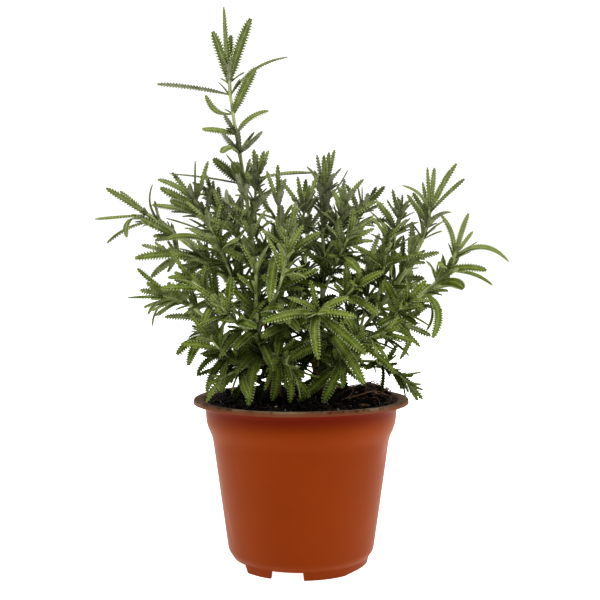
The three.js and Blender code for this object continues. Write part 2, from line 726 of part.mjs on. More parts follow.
function growMainStem({ name, crown, seat, path, pairs, leaves = [] }) {
  const { x, y } = CROWNS[crown];
  const [angle, height] = seat;
  const reach = CROWN_RADIUS + SEAT_GAP + MAIN_STEM * 0.8;
  const start = compass(angle).multiplyScalar(reach);
  start.add(new THREE.Vector3(x, y, highestSoil(x, y) + height));
  const curve = new THREE.CatmullRomCurve3([start, ...path.map(vector)], false, "centripetal");
  const steps = 3 * path.length;
  rememberStem(name, curve, MAIN_STEM, steps);
  shoots.set(name, { name, curve, radius: MAIN_STEM, steps, pairs, leaves, blades: [] });
}

// A side shoot leaves its carrier outwards and bends up to its tip. Where it would touch
// another stem it bows a little to one side.
function growSideShoot([name, carrier, at, x, y, z, count, length, turn]) {
  const { curve: from, radius } = shoots.get(carrier);
  const seat = from.getPointAt(at);
  const along = from.getTangentAt(at);
  const tip = new THREE.Vector3(x, y, z);
  const out = squareTo(tip.clone().sub(seat), along);
  const start = seat.clone().addScaledVector(out, radius + SEAT_GAP + SIDE_STEM * 0.75);
  const reach = start.distanceTo(tip);
  const leave = out.clone().multiplyScalar(0.75).add(along).normalize();
  const across = leave.clone().cross(tip.clone().sub(start)).normalize();
  let curve;
  for (const bow of BOWS) {
    const middle = start.clone().addScaledVector(leave, reach * 0.45).addScaledVector(across, bow);
    curve = new THREE.QuadraticBezierCurve3(start, middle, tip);
    if (isClear(facesOf(rod(curve, SIDE_STEM + CLEARANCE, SIDE_STEPS)), name)) break;
  }
  rememberStem(name, curve, SIDE_STEM, SIDE_STEPS);
  const pairs = { from: 0.3, to: 0.97, count, length, turn };
  const leaves = SHOOT_LEAVES[name] ?? [];
  shoots.set(name, { name, curve, radius: SIDE_STEM, steps: SIDE_STEPS, pairs, leaves, blades: [] });
}

// ---- Leaves ----

// The size of a leaf's cross-section, as a share of its widest, from its root at t = 0, where it
// is a short stalk, to its tip at t = 1.
function fullness(t) {
  return t < 0.1 ? 0.16 : Math.min(1, 3 * (1 - t));
}

// A three-sided cone bent along the leaf's midrib, from the root, y = -0.5, to the tip, y = 0.5.
// Two of its edges become the leaf's margins and the third its keel. swell makes a bigger copy
// for the test of clearance.
function blade({ midrib, side, width, rows }, swell = 0) {
  const g = new THREE.ConeGeometry(1, 1, 3, rows);
  const p = g.attributes.position;
  for (let i = 0; i < p.count; i++) {
    const t = p.getY(i) + 0.5;
    const along = midrib.getTangent(t);
    const across = squareTo(side, along);
    const face = across.clone().cross(along);
    const point = midrib.getPoint(t);
    const ring = 1 - t;
    if (ring > 1e-6) {
      const half = (width / 2) * fullness(t) + swell;
      const thick = LEAF_THICKNESS * Math.max(0.4, fullness(t)) + swell;
      point.addScaledVector(across, (-p.getX(i) / ring / Math.sin(Math.PI / 3)) * half);
      point.addScaledVector(face, (-p.getZ(i) / ring) * thick);
    } else point.addScaledVector(along, swell);
    p.setXYZ(i, point.x, point.y, point.z);
  }
  return g;
}

// Places the first of a leaf's candidates that has room. A leaf with no room doesn't grow.
function placeLeaf(shoot, candidates) {
  for (const leaf of candidates) {
    const spots = leaf.midrib.getPoints(8).slice(2);
    if (!spots.every(isAboveGround)) continue;
    const root = leaf.midrib.getPoint(0);
    const isFoot = (v) => v.distanceTo(root) < leaf.width;
    if (!isClear(facesOf(blade(leaf, CLEARANCE), isFoot), shoot.name)) continue;
    grown.push({ node: shoot.name, isStem: false, ...facesOf(blade(leaf), isFoot) });
    shoot.blades.push(leaf);
    return;
  }
}

// A leaf by its place on the stem and its tip. arch lifts its middle. Its face looks up, or is
// turned by a share towards the front.
function* reachingLeaf(shoot, [at, x, y, z, arch, frontward = 0]) {
  const root = shoot.curve.getPointAt(at);
  const along = shoot.curve.getTangentAt(at);
  for (const shift of SHIFTS) {
    const tip = new THREE.Vector3(x, y + shift, z);
    const reach = tip.clone().sub(root);
    const upSide = squareTo(reach, along).cross(along).normalize();
    const heading = reach.clone().normalize();
    const lift = upSide.clone().cross(heading);
    const face = squareTo(lift.clone().lerp(squareTo(front, heading), frontward), heading);
    const side = heading.clone().cross(face);
    const knee = root.clone().addScaledVector(reach, 0.5).addScaledVector(lift, 2 * arch);
    const midrib = new THREE.QuadraticBezierCurve3(root, knee, tip);
    const width = Math.min(LEAF_WIDTH, 2.2 + reach.length() * 0.11);
    yield { midrib, side, width, rows: 3 };
  }
}

// One leaf of a pair. spread is its angle from the stem, and it recurves and droops a little.
function* pairedLeaf(shoot, at, turn, length, spread) {
  const root = shoot.curve.getPointAt(at);
  const along = shoot.curve.getTangentAt(at);
  const first = squareTo(new THREE.Vector3(0.3, -1, 0.2), along);
  for (const shrink of SHRINKS) {
    const reach = length * shrink;
    for (const swing of SWINGS) {
      const out = first.clone().applyAxisAngle(along, THREE.MathUtils.degToRad(turn + swing));
      const side = out.clone().cross(along);
      const lean = (degrees) =>
        along.clone().applyAxisAngle(side, -THREE.MathUtils.degToRad(degrees));
      const knee = root.clone().addScaledVector(lean(spread - 10), reach * 0.5);
      const tip = knee.clone().addScaledVector(lean(spread + 14), reach * 0.5);
      tip.addScaledVector(up, -0.06 * reach);
      const midrib = new THREE.QuadraticBezierCurve3(root, knee, tip);
      yield { midrib, side, width: Math.min(LEAF_WIDTH, 2.2 + reach * 0.13), rows: 2 };
    }
  }
}

// Opposite leaves, each pair a quarter turn on from the last, shorter and more upright
// towards the shoot's tip.
function growPairs(shoot, number) {
  if (!shoot.pairs) return;
  const { from, to, count, length, turn } = shoot.pairs;
  for (let k = 0; k < count; k++) {
    const climb = count > 1 ? k / (count - 1) : 1;
    const at = THREE.MathUtils.lerp(from, to, climb);
    const spread = THREE.MathUtils.lerp(LOW_SPREAD, TOP_SPREAD, climb ** 1.3);
    const longest = length * (1 - 0.35 * Math.abs(climb - 0.45));
    for (const half of [0, 1]) {
      const n = 97 * number + 2 * k + half;
      const angle = turn + 90 * k + 180 * half + 12 * jitter(n);
      const reach = longest * (1 + 0.1 * jitter(n + 31));
      placeLeaf(shoot, pairedLeaf(shoot, at, angle, reach, spread + 8 * jitter(n + 57)));
    }
  }
}

function addShoot({ name, curve, radius, steps, blades }) {
  add(name, fused([rod(curve, radius, steps), ...blades.map((leaf) => blade(leaf))]), COLOURS.shoot);
}

// ---- The whole plant in its pot ----

addPot();
addSoil();
addStraw("straw_long", [22, -14], [52, 6], 0.5);
addStraw("straw_short", [30, 22], [50, 16], 0.5);
addBarkChip("bark_chip", 36, -30, 3.2);
for (const crown of Object.values(CROWNS)) addWoodyBase(crown);

MAIN_STEMS.forEach(growMainStem);
SIDE_SHOOTS.forEach(growSideShoot);
for (const shoot of shoots.values()) {
  for (const leaf of shoot.leaves) placeLeaf(shoot, reachingLeaf(shoot, leaf));
}
[...shoots.values()].forEach(growPairs);
shoots.forEach(addShoot);

export default lavender;
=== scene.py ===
# Potted fringed lavender (Lavandula dentata): the fine, visible model, built around the packed
# CAD frame. Metres, +Z up, the front faces -Y. Compass angles are in degrees from the front,
# turning towards +X.
import math

import bmesh
import bpy
import numpy as np
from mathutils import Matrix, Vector, noise


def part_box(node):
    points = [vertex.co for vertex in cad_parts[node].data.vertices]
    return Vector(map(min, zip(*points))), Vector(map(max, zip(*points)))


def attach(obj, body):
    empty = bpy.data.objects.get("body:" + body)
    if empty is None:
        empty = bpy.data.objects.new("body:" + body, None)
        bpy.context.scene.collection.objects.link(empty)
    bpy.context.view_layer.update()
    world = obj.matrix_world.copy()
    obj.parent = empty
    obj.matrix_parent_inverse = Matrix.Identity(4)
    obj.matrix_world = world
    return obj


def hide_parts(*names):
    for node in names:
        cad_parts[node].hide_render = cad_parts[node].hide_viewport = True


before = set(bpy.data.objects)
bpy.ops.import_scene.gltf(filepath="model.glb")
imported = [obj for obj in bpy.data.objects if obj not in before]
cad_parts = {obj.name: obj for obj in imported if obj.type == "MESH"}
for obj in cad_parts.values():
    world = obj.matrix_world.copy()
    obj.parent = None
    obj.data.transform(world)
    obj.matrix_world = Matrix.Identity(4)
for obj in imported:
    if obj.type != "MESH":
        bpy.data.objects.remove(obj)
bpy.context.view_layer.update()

MM = 0.001

# ---- Driving dimensions, in millimetres ----

# The pot. Heights and radii of its wall, from the frame where a box gives them.
_, POT_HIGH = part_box("nursery_pot")
POT_HEIGHT = POT_HIGH.z / MM
RIM_RADIUS = POT_HIGH.x / MM
LIP_DROP = 2.6
SHEET = 1.1
COLLAR_RADIUS = 57.9
COLLAR_FOOT = (57.1, 85.2)
SHOULDER = (53.5, 76.6)
BODY_FOOT = (44.0, 9.0)
BASE = (41.4, 5.5)
FOOT_RADIUS = 39.9
FOOT_WALL = 2.0
# Gaps in the foot ring: compass angle, width in degrees, height, and whether it is a shallow arch.
FOOT_GAPS = [
    (-12, 29, 5.1, False),
    (66, 52, 1.7, True),
    (104, 20, 5.1, False),
    (152, 24, 5.1, False),
    (-158, 24, 5.1, False),
    (-86, 70, 5.1, False),
]
DRAIN_HOLES = 6
DRAIN_RADIUS = 3.5
DRAIN_CIRCLE = 31.0
DRAIN_CORNERS = 24
POT_COLUMNS = 216
WARPED_FROM = 95.0  # above this height the rim is a little out of true
POT_SHARP = 38  # in degrees

# The soil. Each mound has its x, y, height and reach.
SOIL_GAP = 0.3
SOIL_LEVEL = 98.4
SOIL_EDGE_DROP = 1.0
MOUNDS = [(43, 8, 10, 16), (-15, -2, 2.5, 15), (12, 4, 2.5, 15), (-36, 20, 4.5, 20), (0, 38, 4, 24)]
FIBRE_REACH = 54.5  # no fibre runs out past this radius
CRUMBS = 640
PERLITE = 46
FIBRES = 150
MOUND_FIBRES = 95
FIBRE_CORNERS = 5

# The plant. A stem has its radius, how deep its foot sits in what carries it, and how woody it is,
# 0 to 1. The fills are a leaf's width as a share of its CAD leaf's.
MAIN_STEM = (1.45, 2.2, 1.0)
SIDE_STEM = (0.95, 1.8, 0.25)
STEM_CORNERS = 8
STEM_STEP = 2.4
KNOT_SWELL = 0.16
KNOT_REACH = 1.6
TOOTH_PITCH = 1.75
SMALL_TOOTH_PITCH = 1.9
TOOTH_DEPTH = 0.42
LEAF_SHEET = 0.4
MATURE_FILL = 1.06
INNER_FILL = 0.92
YOUNG_FILL = 0.78
LEADER_FILL = 1.18
WIDEST_LEAF = 7.2
LONG_LEAF = 35.0  # the leader's leaves from this length on are narrow, unless they stand upright
LEAST_FACING = 0.3  # the leader's leaves that face the front less than this are turned
MOST_TURN = 30.0
YOUNG_FROM = 0.88  # an upright leaf past this share of its stem is a young one
CROWN = 0.96  # a leaf past this share of its stem belongs to the growing tip
CROWDED_BUD = 0.42
BUSH_MIDDLE = np.array([0, 8, 160])
BUSH_REACH = np.array([96, 84, 74])

# Low leaves are old and dark, with painted shade, less so at the front and far from the pot's axis.
# Of each pair, the first is where a change starts and the second how far it goes on.
DARK_BELOW = 172.0
DARK_OVER = 58.0
FRONT_EDGE = -46.0
FRONT_OVER = 26.0
FREE_FROM = 50.0
FREE_OVER = 24.0

# Light and camera, in metres. The white studio has one strength in front of the pot and one behind
# it, and changes between two values of a direction's Y. Softboxes: name, place, aim, size, power.
WORLD_FRONT = 0.1
WORLD_BACK = 0.8
WORLD_FADE = (-0.75, 0.1)
FLOOR_REACH = 6.0
SOFTBOXES = [
    ("key", (-0.35, -0.85, 1.9), (0, 0, 0.15), (1.0, 1.0), 34.5),
    ("top", (0.3, 0.9, 1.6), (0, 0, 0.2), (0.6, 0.6), 12),
    ("right", (1.5, -0.3, 0.9), (0, 0, 0.12), (0.8, 1.2), 11),
]
CAMERA_PLACE = (-0.0006, -0.622, 0.1825)
CAMERA_PITCH = 2.17  # degrees, downwards
CAMERA_LENS = 61.95  # millimetres

rng = np.random.default_rng(71)


# ---- Meshes ----

def add_object(name, data):
    made = bpy.data.objects.new(name, data)
    bpy.context.scene.collection.objects.link(made)
    return made


class Soup:
    """Gathers vertices in millimetres, faces and their extra values for one mesh."""

    def __init__(self, point_layers=(), face_layers=()):
        self.vertices = []
        self.faces = []
        self.count = 0
        self.point_layers = {name: [] for name in point_layers}
        self.face_layers = {name: [] for name in face_layers}

    def add(self, vertices, faces, points=None, face_values=None):
        self.vertices.append(np.asarray(vertices, float))
        self.faces.extend([tuple(int(i) + self.count for i in face) for face in faces])
        self.count += len(vertices)
        for name, store in self.point_layers.items():
            value = (points or {}).get(name, 0.0)
            store.append(np.broadcast_to(np.asarray(value, float), (len(vertices),)))
        for name, store in self.face_layers.items():
            value = (face_values or {}).get(name, 0.0)
            store.append(np.broadcast_to(np.asarray(value, float), (len(faces),)))

    def mesh(self, name):
        """What was gathered, in metres."""
        mesh = bpy.data.meshes.new(name)
        mesh.from_pydata(np.concatenate(self.vertices) * MM, [], self.faces)
        return mesh

    def piece(self, name, material, nodes, slot, sharp):
        """One visible mesh that stands for CAD nodes. Edges above sharp degrees stay sharp."""
        mesh = self.mesh(name)
        for domain, layers in (("POINT", self.point_layers), ("FACE", self.face_layers)):
            for layer, values in layers.items():
                attribute = mesh.attributes.new(layer, "FLOAT", domain)
                attribute.data.foreach_set("value", np.concatenate(values).astype(np.float32))
        mesh.materials.append(material)
        mesh.polygons.foreach_set("use_smooth", np.ones(len(mesh.polygons), dtype=bool))
        mesh.set_sharp_from_angle(angle=math.radians(sharp))
        mesh.validate()
        piece = add_object(name, mesh)
        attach(piece, "root")
        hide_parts(*nodes)
        return piece


def unit(v):
    v = np.asarray(v, float)
    return v / np.linalg.norm(v, axis=-1, keepdims=True)


def square_to(v, axis):
    return unit(v - axis * np.sum(v * axis, axis=-1, keepdims=True))


def compass(degrees):
    a = np.radians(degrees)
    return np.stack([np.sin(a), -np.cos(a)], axis=-1)


def smoothstep(x):
    x = np.clip(x, 0, 1)
    return x * x * (3 - 2 * x)


def turned_about(v, axis, degrees):
    """v turned about a unit axis by the right-hand rule."""
    a = math.radians(degrees)
    along = axis * np.dot(axis, v)
    return v * math.cos(a) + np.cross(axis, v) * math.sin(a) + along * (1 - math.cos(a))


def grid_faces(rows, columns):
    """Quads between successive rings of points."""
    faces = []
    for i in range(rows - 1):
        for j in range(columns):
            a = i * columns + j
            b = i * columns + (j + 1) % columns
            faces.append((a, b, b + columns, a + columns))
    return faces


def tube_faces(rows, columns):
    """The faces of a tube of rings, closed flat at both ends."""
    faces = grid_faces(rows, columns)
    faces.append(tuple(range(columns))[::-1])
    faces.append(tuple((rows - 1) * columns + j for j in range(columns)))
    return faces


def bag_faces(rows, columns):
    """The faces of rings in a row, closed onto one more corner at either end."""
    faces = grid_faces(rows, columns)
    last = (rows - 1) * columns
    low, high = rows * columns, rows * columns + 1
    for j in range(columns):
        k = (j + 1) % columns
        faces.append((k, j, low))
        faces.append((last + j, last + k, high))
    return faces


def polygon_angles(corners):
    return np.arange(corners) * 360 / corners


def stem_frames(tangents):
    """Directions square to a stem that turn as little as they can along it."""
    frames = [square_to(np.array([0.3, -1.0, 0.15]), tangents[0])]
    for tangent in tangents[1:]:
        frames.append(square_to(frames[-1], tangent))
    across = np.array(frames)
    return across, np.cross(tangents, across)


def rod_corners(points, tangents, section, thick):
    """The corners of a rod along points, from its section and its size at each point."""
    u, v = stem_frames(tangents)
    outward = section[None, :, 0, None] * u[:, None] + section[None, :, 1, None] * v[:, None]
    return (points[:, None] + thick[:, None, None] * outward).reshape(-1, 3)


# ---- Reading the CAD shoots ----

def welded(obj):
    """A CAD node's corners, in millimetres, each once, and its triangles."""
    mesh = obj.data
    places = np.empty(len(mesh.vertices) * 3)
    mesh.vertices.foreach_get("co", places)
    places = places.reshape(-1, 3)
    mesh.calc_loop_triangles()
    triangles = np.empty(len(mesh.loop_triangles) * 3, int)
    mesh.loop_triangles.foreach_get("vertices", triangles)
    _, first, same = np.unique(
        np.round(places / 2e-6).astype(int), axis=0, return_index=True, return_inverse=True
    )
    triangles = same.reshape(-1)[triangles].reshape(-1, 3)
    return places[first] / MM, triangles


def neighbours_of(corners, triangles):
    near = [set() for _ in corners]
    for a, b, c in triangles:
        near[a].update((b, c))
        near[b].update((c, a))
        near[c].update((a, b))
    return near


def ring_parts(corners, ring):
    """The middle, width direction and keel of a leaf's three-cornered ring."""
    points = corners[list(ring)]
    sides = [np.linalg.norm(points[(k + 1) % 3] - points[(k + 2) % 3]) for k in range(3)]
    keel = int(np.argmax(sides))
    left, right = points[(keel + 1) % 3], points[(keel + 2) % 3]
    return points.mean(0), unit(right - left), points[keel], max(sides)


def find_leaves(corners, near):
    """Each leaf's rings of corners, from its tip back: a tip has three neighbours, well away."""
    found = []
    for tip, ring in enumerate(near):
        if len(ring) != 3:
            continue
        gaps = np.linalg.norm(corners[list(ring)] - corners[tip], axis=1)
        if gaps.min() < 3.4 or gaps.max() > 1.7 * gaps.min():
            continue
        rings = [tuple(ring)]
        beyond = set().union(*(near[i] for i in ring)) - set(ring) - {tip}
        if len(beyond) == 3:
            width = ring_parts(corners, ring)[3]
            if ring_parts(corners, beyond)[3] > 0.6 * width:
                rings.append(tuple(beyond))
        found.append((tip, rings))
    return found


class Centreline:
    """A smooth curve up the middle of a stem, fitted to the faces of its CAD rod."""

    def __init__(self, corners, triangles, leaf_corners, start):
        rod = np.array([t for t in triangles if not leaf_corners.intersection(t)])
        a, b, c = corners[rod[:, 0]], corners[rod[:, 1]], corners[rod[:, 2]]
        area = np.linalg.norm(np.cross(b - a, c - a), axis=1)
        points, weights = [], []
        steps = 7
        for i in range(steps):
            for j in range(steps - i):
                u, v = (i + 1 / 3) / steps, (j + 1 / 3) / steps
                points.append(a * u + b * v + c * (1 - u - v))
                weights.append(area)
        points, weights = np.concatenate(points), np.sqrt(np.concatenate(weights))
        chord = corners[np.unique(rod)]
        spread = np.linalg.svd(chord - chord.mean(0), full_matrices=False)[2][0]
        ends = chord[np.argmin(chord @ spread)], chord[np.argmax(chord @ spread)]
        if np.linalg.norm(ends[0] - start) > np.linalg.norm(ends[1] - start):
            spread = -spread
        along = points @ spread
        self.low, self.high = along.min(), along.max()
        x = (along - self.low) / (self.high - self.low)
        degree = 5 if len(rod) > 60 else 4
        self.fit = [np.polyfit(x, points[:, k], degree, w=weights) for k in range(3)]
        fine = np.linspace(0, 1, 400)
        curve = self.raw(fine)
        length = np.concatenate([[0], np.cumsum(np.linalg.norm(np.diff(curve, axis=0), axis=1))])
        self.length = length[-1]
        self.by_length = (length / self.length, fine)

    def raw(self, x):
        return np.stack([np.polyval(k, x) for k in self.fit], axis=-1)

    def point(self, s):
        """The point at a share s of the length. Beyond its ends the curve runs on straight."""
        s = np.asarray(s, float)
        inside = np.clip(s, 0, 1)
        point = self.raw(np.interp(inside, *self.by_length))
        return point + (s - inside)[..., None] * self.length * self.tangent(inside)

    def tangent(self, s):
        x = np.interp(np.clip(s, 0, 1), *self.by_length)
        return unit(np.stack([np.polyval(np.polyder(k), x) for k in self.fit], axis=-1))

    def nearest(self, origin, direction):
        """The place on the stem that a line passes nearest."""
        places = np.linspace(0, 1, 401)
        points = self.point(places)
        reach = (points - origin) @ direction
        gaps = np.linalg.norm(origin + reach[:, None] * direction - points, axis=1)
        return places[np.argmin(gaps)]


def read_leaf(corners, tip, rings, stem):
    """A leaf's root on the stem, its midrib as a quadratic curve, its width direction and width."""
    end = corners[tip]
    middle, side, keel, width = ring_parts(corners, rings[0])
    if len(rings) == 2:
        inner = ring_parts(corners, rings[1])[0]
        root = end + 3 * (inner - middle)
        knee = (9 * middle - root - 4 * end) / 4
        place = stem.nearest(root, unit(end - root))
    else:
        points = corners[list(rings[0])]
        normal = unit(np.cross(points[1] - points[0], points[2] - points[0]))
        normal *= -np.sign(np.dot(normal, end - middle))
        place = stem.nearest(end, normal)
        root = stem.point(place)
        knee = 2 * middle - (root + end) / 2
    face = unit(middle - keel)
    shape = {"root": root, "knee": knee, "tip": end, "side": side, "face": face}
    return {**shape, "place": place, "width": width, "reaching": len(rings) == 2}


def read_shoot(node):
    corners, triangles = welded(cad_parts[node])
    near = neighbours_of(corners, triangles)
    found = find_leaves(corners, near)
    leaf_corners = set()
    for tip, rings in found:
        leaf_corners.add(tip)
        for ring in rings:
            leaf_corners.update(ring)
    start = stem_start(corners, leaf_corners)
    stem = Centreline(corners, triangles, leaf_corners, start)
    leaves = [read_leaf(corners, tip, rings, stem) for tip, rings in found]
    return stem, leaves


def stem_start(corners, leaf_corners):
    """A stem starts at its lowest end, near the pot's axis."""
    rest = np.array([c for i, c in enumerate(corners) if i not in leaf_corners])
    return rest[np.argmin(rest[:, 2] + 0.5 * np.hypot(rest[:, 0], rest[:, 1]))]


# ---- Leaves and stems ----

# A leaf's section, from one margin over the upper side to the other and back along the keel. The
# pleats between the teeth are highest at a share PLEAT_AT of the half width.
PLEAT_AT = 0.45
SECTION_ACROSS = np.array([-1, -PLEAT_AT, 0, PLEAT_AT, 1, 0])
SECTION_BELOW = np.array([0, 0, 0, 0, 0, 1])
LEAF_LAYERS = ("along", "across", "ribs", "tone", "age_and_shade")
TEETH_FROM = 0.06
TEETH_SPAN = 0.9


def midrib(leaf, t):
    t = t[:, None]
    point = (1 - t) ** 2 * leaf["root"] + 2 * t * (1 - t) * leaf["knee"] + t * t * leaf["tip"]
    tangent = 2 * (1 - t) * (leaf["knee"] - leaf["root"]) + 2 * t * (leaf["tip"] - leaf["knee"])
    return point, unit(tangent)


def leaf_stations(teeth, small):
    """Places along the midrib and how far a tooth stands out there, 0 in a notch to 1."""
    stations = [(0.0, 0.0), (0.03, 0.0)]
    pointed = [(0.0, 0.0), (0.5, 1.0)]
    blunt = [(0.0, 0.0), (0.14, 1.0), (0.55, 1.0), (0.69, 0.0)]
    steps = pointed if small else blunt
    for i in range(teeth):
        for step, crest in steps:
            stations.append((TEETH_FROM + TEETH_SPAN * (i + step) / teeth, crest))
    stations.append((0.965, 0.3))
    stations.append((0.988, 0.8))
    return np.array(stations).T


def half_width(t, taper):
    """A leaf's half width along it, as a share of its widest."""
    base = 0.46 + 0.54 * smoothstep(t / 0.3)
    stalk = smoothstep(0.35 + t / 0.05)
    tip = np.sqrt(np.clip(1 - (np.clip(t - taper, 0, 1) / (1.02 - taper)) ** 2, 0.03, 1))
    return base * stalk * tip


def openness(point):
    """0 in the middle of the bush, 1 at its outside, and more on shoots that stand out of it."""
    return float(np.linalg.norm((point - BUSH_MIDDLE) / BUSH_REACH))


def age_and_shade_at(point):
    """How much a leaf takes the dark colour of old leaves and of painted shade, from inside or low in
    the bush, 0 to 1. The low ones at the front get less painted shade and stay greener."""
    inside = 1 - smoothstep((openness(point) - 0.3) / 0.6)
    low = smoothstep((DARK_BELOW - point[2]) / DARK_OVER)
    shaded = 0.6 + 0.4 * smoothstep((point[1] - FRONT_EDGE) / FRONT_OVER)
    free = smoothstep((math.hypot(point[0], point[1]) - FREE_FROM) / FREE_OVER)
    return float(max(inside, shaded * low * (1 - 0.55 * free)))


def add_leaf(soup, leaf, width, small=False, roll=0.0, tone=0.5):
    """One toothed leaf on its midrib: thin, channelled above, keeled below, pleated between its
    teeth, which bend down. width is over the teeth, roll in degrees about the midrib. A small
    leaf has simpler and shallower teeth."""
    length = np.linalg.norm(leaf["knee"] - leaf["root"]) + np.linalg.norm(leaf["tip"] - leaf["knee"])
    pitch = SMALL_TOOTH_PITCH if small else TOOTH_PITCH
    teeth = max(4, int(round(TEETH_SPAN * length / pitch)))
    t, crest = leaf_stations(teeth, small)
    point, tangent = midrib(leaf, t)
    side = square_to(np.broadcast_to(leaf["side"], point.shape), tangent)
    face = np.cross(side, tangent)
    if np.sum(face * leaf["face"]) < 0:
        side, face = -side, -face
    twist = np.radians(roll + rng.normal(0, 12) * t)[:, None]
    cos, sin = np.cos(twist), np.sin(twist)
    side, face = side * cos + face * sin, face * cos - side * sin

    half = (width / 2 * half_width(t, rng.uniform(0.5, 0.7)))[:, None]
    crest = crest[:, None]
    depth = TOOTH_DEPTH * (0.7 if small else 1.0) * smoothstep(t / 0.12)[:, None]
    fold = rng.uniform(0.02, 0.36)
    curl = rng.uniform(0.15, 0.36)
    across = SECTION_ACROSS
    edge = (np.abs(across) == 1)[None, :]
    pleat = (np.abs(across) == PLEAT_AT)[None, :]
    a = across * half * np.where(edge, 1 - depth * (1 - crest), 1.0)
    height = fold * np.abs(a)
    height = height + np.where(pleat, 0.05 + 0.05 * crest, 0.0) * half
    height = height - np.where(edge, curl * (0.35 + 0.65 * crest), 0.0) * half
    sheet = LEAF_SHEET * (0.4 + 0.6 * half / half.max())
    height = height - SECTION_BELOW * sheet * 1.7
    forward = np.where(edge, 0.3 * pitch * crest, 0.0)

    vertices = (
        point[:, None, :]
        + a[..., None] * side[:, None, :]
        + height[..., None] * face[:, None, :]
        + forward[..., None] * tangent[:, None, :]
    )
    rows, columns = a.shape
    vertices = np.concatenate([vertices.reshape(-1, 3), leaf["tip"][None]])
    faces = grid_faces(rows, columns)
    last = (rows - 1) * columns
    faces += [(last + j, last + (j + 1) % columns, rows * columns) for j in range(columns)]
    faces.append(tuple(range(columns))[::-1])
    under = [1.0 if j >= 4 else 0.0 for _ in range(rows) for j in range(columns)]
    under.append(1.0)
    tooth_middle = 0.5 if small else 0.345
    ribs = (t - TEETH_FROM) / TEETH_SPAN * teeth - tooth_middle
    points = {
        "along": np.append(np.repeat(t, columns), 1.0),
        "across": np.append(np.tile(across, rows), 0.0),
        "ribs": np.append(np.repeat(ribs, columns), teeth),
        "tone": tone,
        "age_and_shade": age_and_shade_at((leaf["knee"] + leaf["tip"]) / 2),
    }
    soup.add(vertices, faces, points, {"underside": under})


def add_stem(soup, stem, knots, radius, sunk, woody):
    """A square stem with rounded corners, a little thicker where leaves leave it. Its foot goes
    sunk millimetres past the start of its curve, into what carries it."""
    count = max(6, int(stem.length / STEM_STEP))
    s = np.linspace(-sunk / stem.length, 1, count)
    thick = radius * (1 - 0.3 * np.clip(s, 0, 1))
    for knot in knots:
        thick = thick * (1 + KNOT_SWELL * np.exp(-(((s - knot) * stem.length / KNOT_REACH) ** 2)))
    thick = thick * (1 + 0.3 * np.exp(-((s + sunk / stem.length) * stem.length / 2.0) ** 2))
    thick[-1] *= 0.5
    angles = np.radians(polygon_angles(STEM_CORNERS))
    corner = np.where(np.arange(STEM_CORNERS) % 2 == 0, 1.0, 0.84)
    section = np.stack([np.cos(angles) * corner, np.sin(angles) * corner], axis=1)
    up = np.clip(s, 0, 1)
    points = {
        "along": np.repeat(up, STEM_CORNERS),
        "woody": np.repeat(woody * np.clip(1 - 2.2 * up, 0, 1), STEM_CORNERS),
        "tone": 0.5,
        "age_and_shade": 0.5,
    }
    vertices = rod_corners(stem.point(s), stem.tangent(s), section, thick)
    soup.add(vertices, tube_faces(count, STEM_CORNERS), points, {"stem": 1.0})


def bud_leaf(stem, place, out, spread, length):
    """A young leaf that leaves the stem at a place, towards out, at an angle from the stem."""
    along = stem.tangent(place)
    side = np.cross(out, along)
    lean = [turned_about(along, side, -d) for d in (spread - 8, spread + 12)]
    root = stem.point(place) + 0.4 * out
    knee = root + lean[0] * length / 2
    tip = knee + lean[1] * length / 2
    face = np.cross(side, unit(tip - root))
    return {"root": root, "knee": knee, "tip": tip, "side": side, "face": face}


def add_axillary(soup, stem, leaf):
    """Short young leaves in the angle between a leaf and its stem: many inside the bush, few and
    tiny on shoots that stand out of it."""
    along = stem.tangent(leaf["place"])
    out = square_to(leaf["knee"] - leaf["root"], along)
    length = np.linalg.norm(leaf["tip"] - leaf["root"])
    outside = openness(leaf["root"])
    count = 3 if outside < 1.0 else 2 if outside < 1.25 else 1
    fill = 1.0 if outside < 0.95 else 0.7 if outside < 1.25 else 0.4
    for _ in range(count):
        turn = rng.uniform(-62, 62)
        spread = rng.uniform(16, 58)
        reach = 2.5 + length * rng.uniform(0.26, 0.62) * fill
        young = bud_leaf(stem, leaf["place"], turned_about(out, along, turn), spread, reach)
        add_leaf(soup, young, 1.6 + 0.15 * reach, small=True, tone=rng.uniform(0.4, 1))


def add_old_leaves(soup, stem):
    """Short dark leaves all round the foot of a main stem."""
    for place in np.arange(0.02, 0.42, 5.0 / stem.length):
        along = stem.tangent(place)
        first = square_to(np.array([0.4, -1.0, 0.3]), along)
        out = turned_about(first, along, rng.uniform(0, 360))
        old_and_shaded = bud_leaf(stem, place, out, rng.uniform(48, 84), rng.uniform(13, 22))
        add_leaf(soup, old_and_shaded, rng.uniform(3.4, 4.8), small=True, tone=rng.uniform(0, 0.5))


def add_bud(soup, stem, size):
    """The growing tip: a few upright pairs, at a share size of their full length."""
    along = stem.tangent(1.0)
    first = square_to(np.array([0.4, -1.0, 0.3]), along)
    for pair in range(3):
        for half in (0, 180):
            out = turned_about(first, along, 90 * pair + half + rng.uniform(-12, 12))
            reach = (12 - 3 * pair) * rng.uniform(0.85, 1.1) * size
            young = bud_leaf(stem, 0.975 + 0.012 * pair, out, 30 - 9 * pair, reach)
            add_leaf(soup, young, 1.4 + 0.14 * reach, small=True, tone=rng.uniform(0.5, 1))


def turn_to_front(leaf):
    """How far a leaf that the front sees edge on turns about its midrib, in degrees."""
    edge_on = 1 - abs(leaf["face"][1]) / LEAST_FACING
    way = math.copysign(1, leaf["face"][1] * leaf["side"][1]) if leaf["face"][1] else 1
    return -way * MOST_TURN * max(0.0, edge_on)


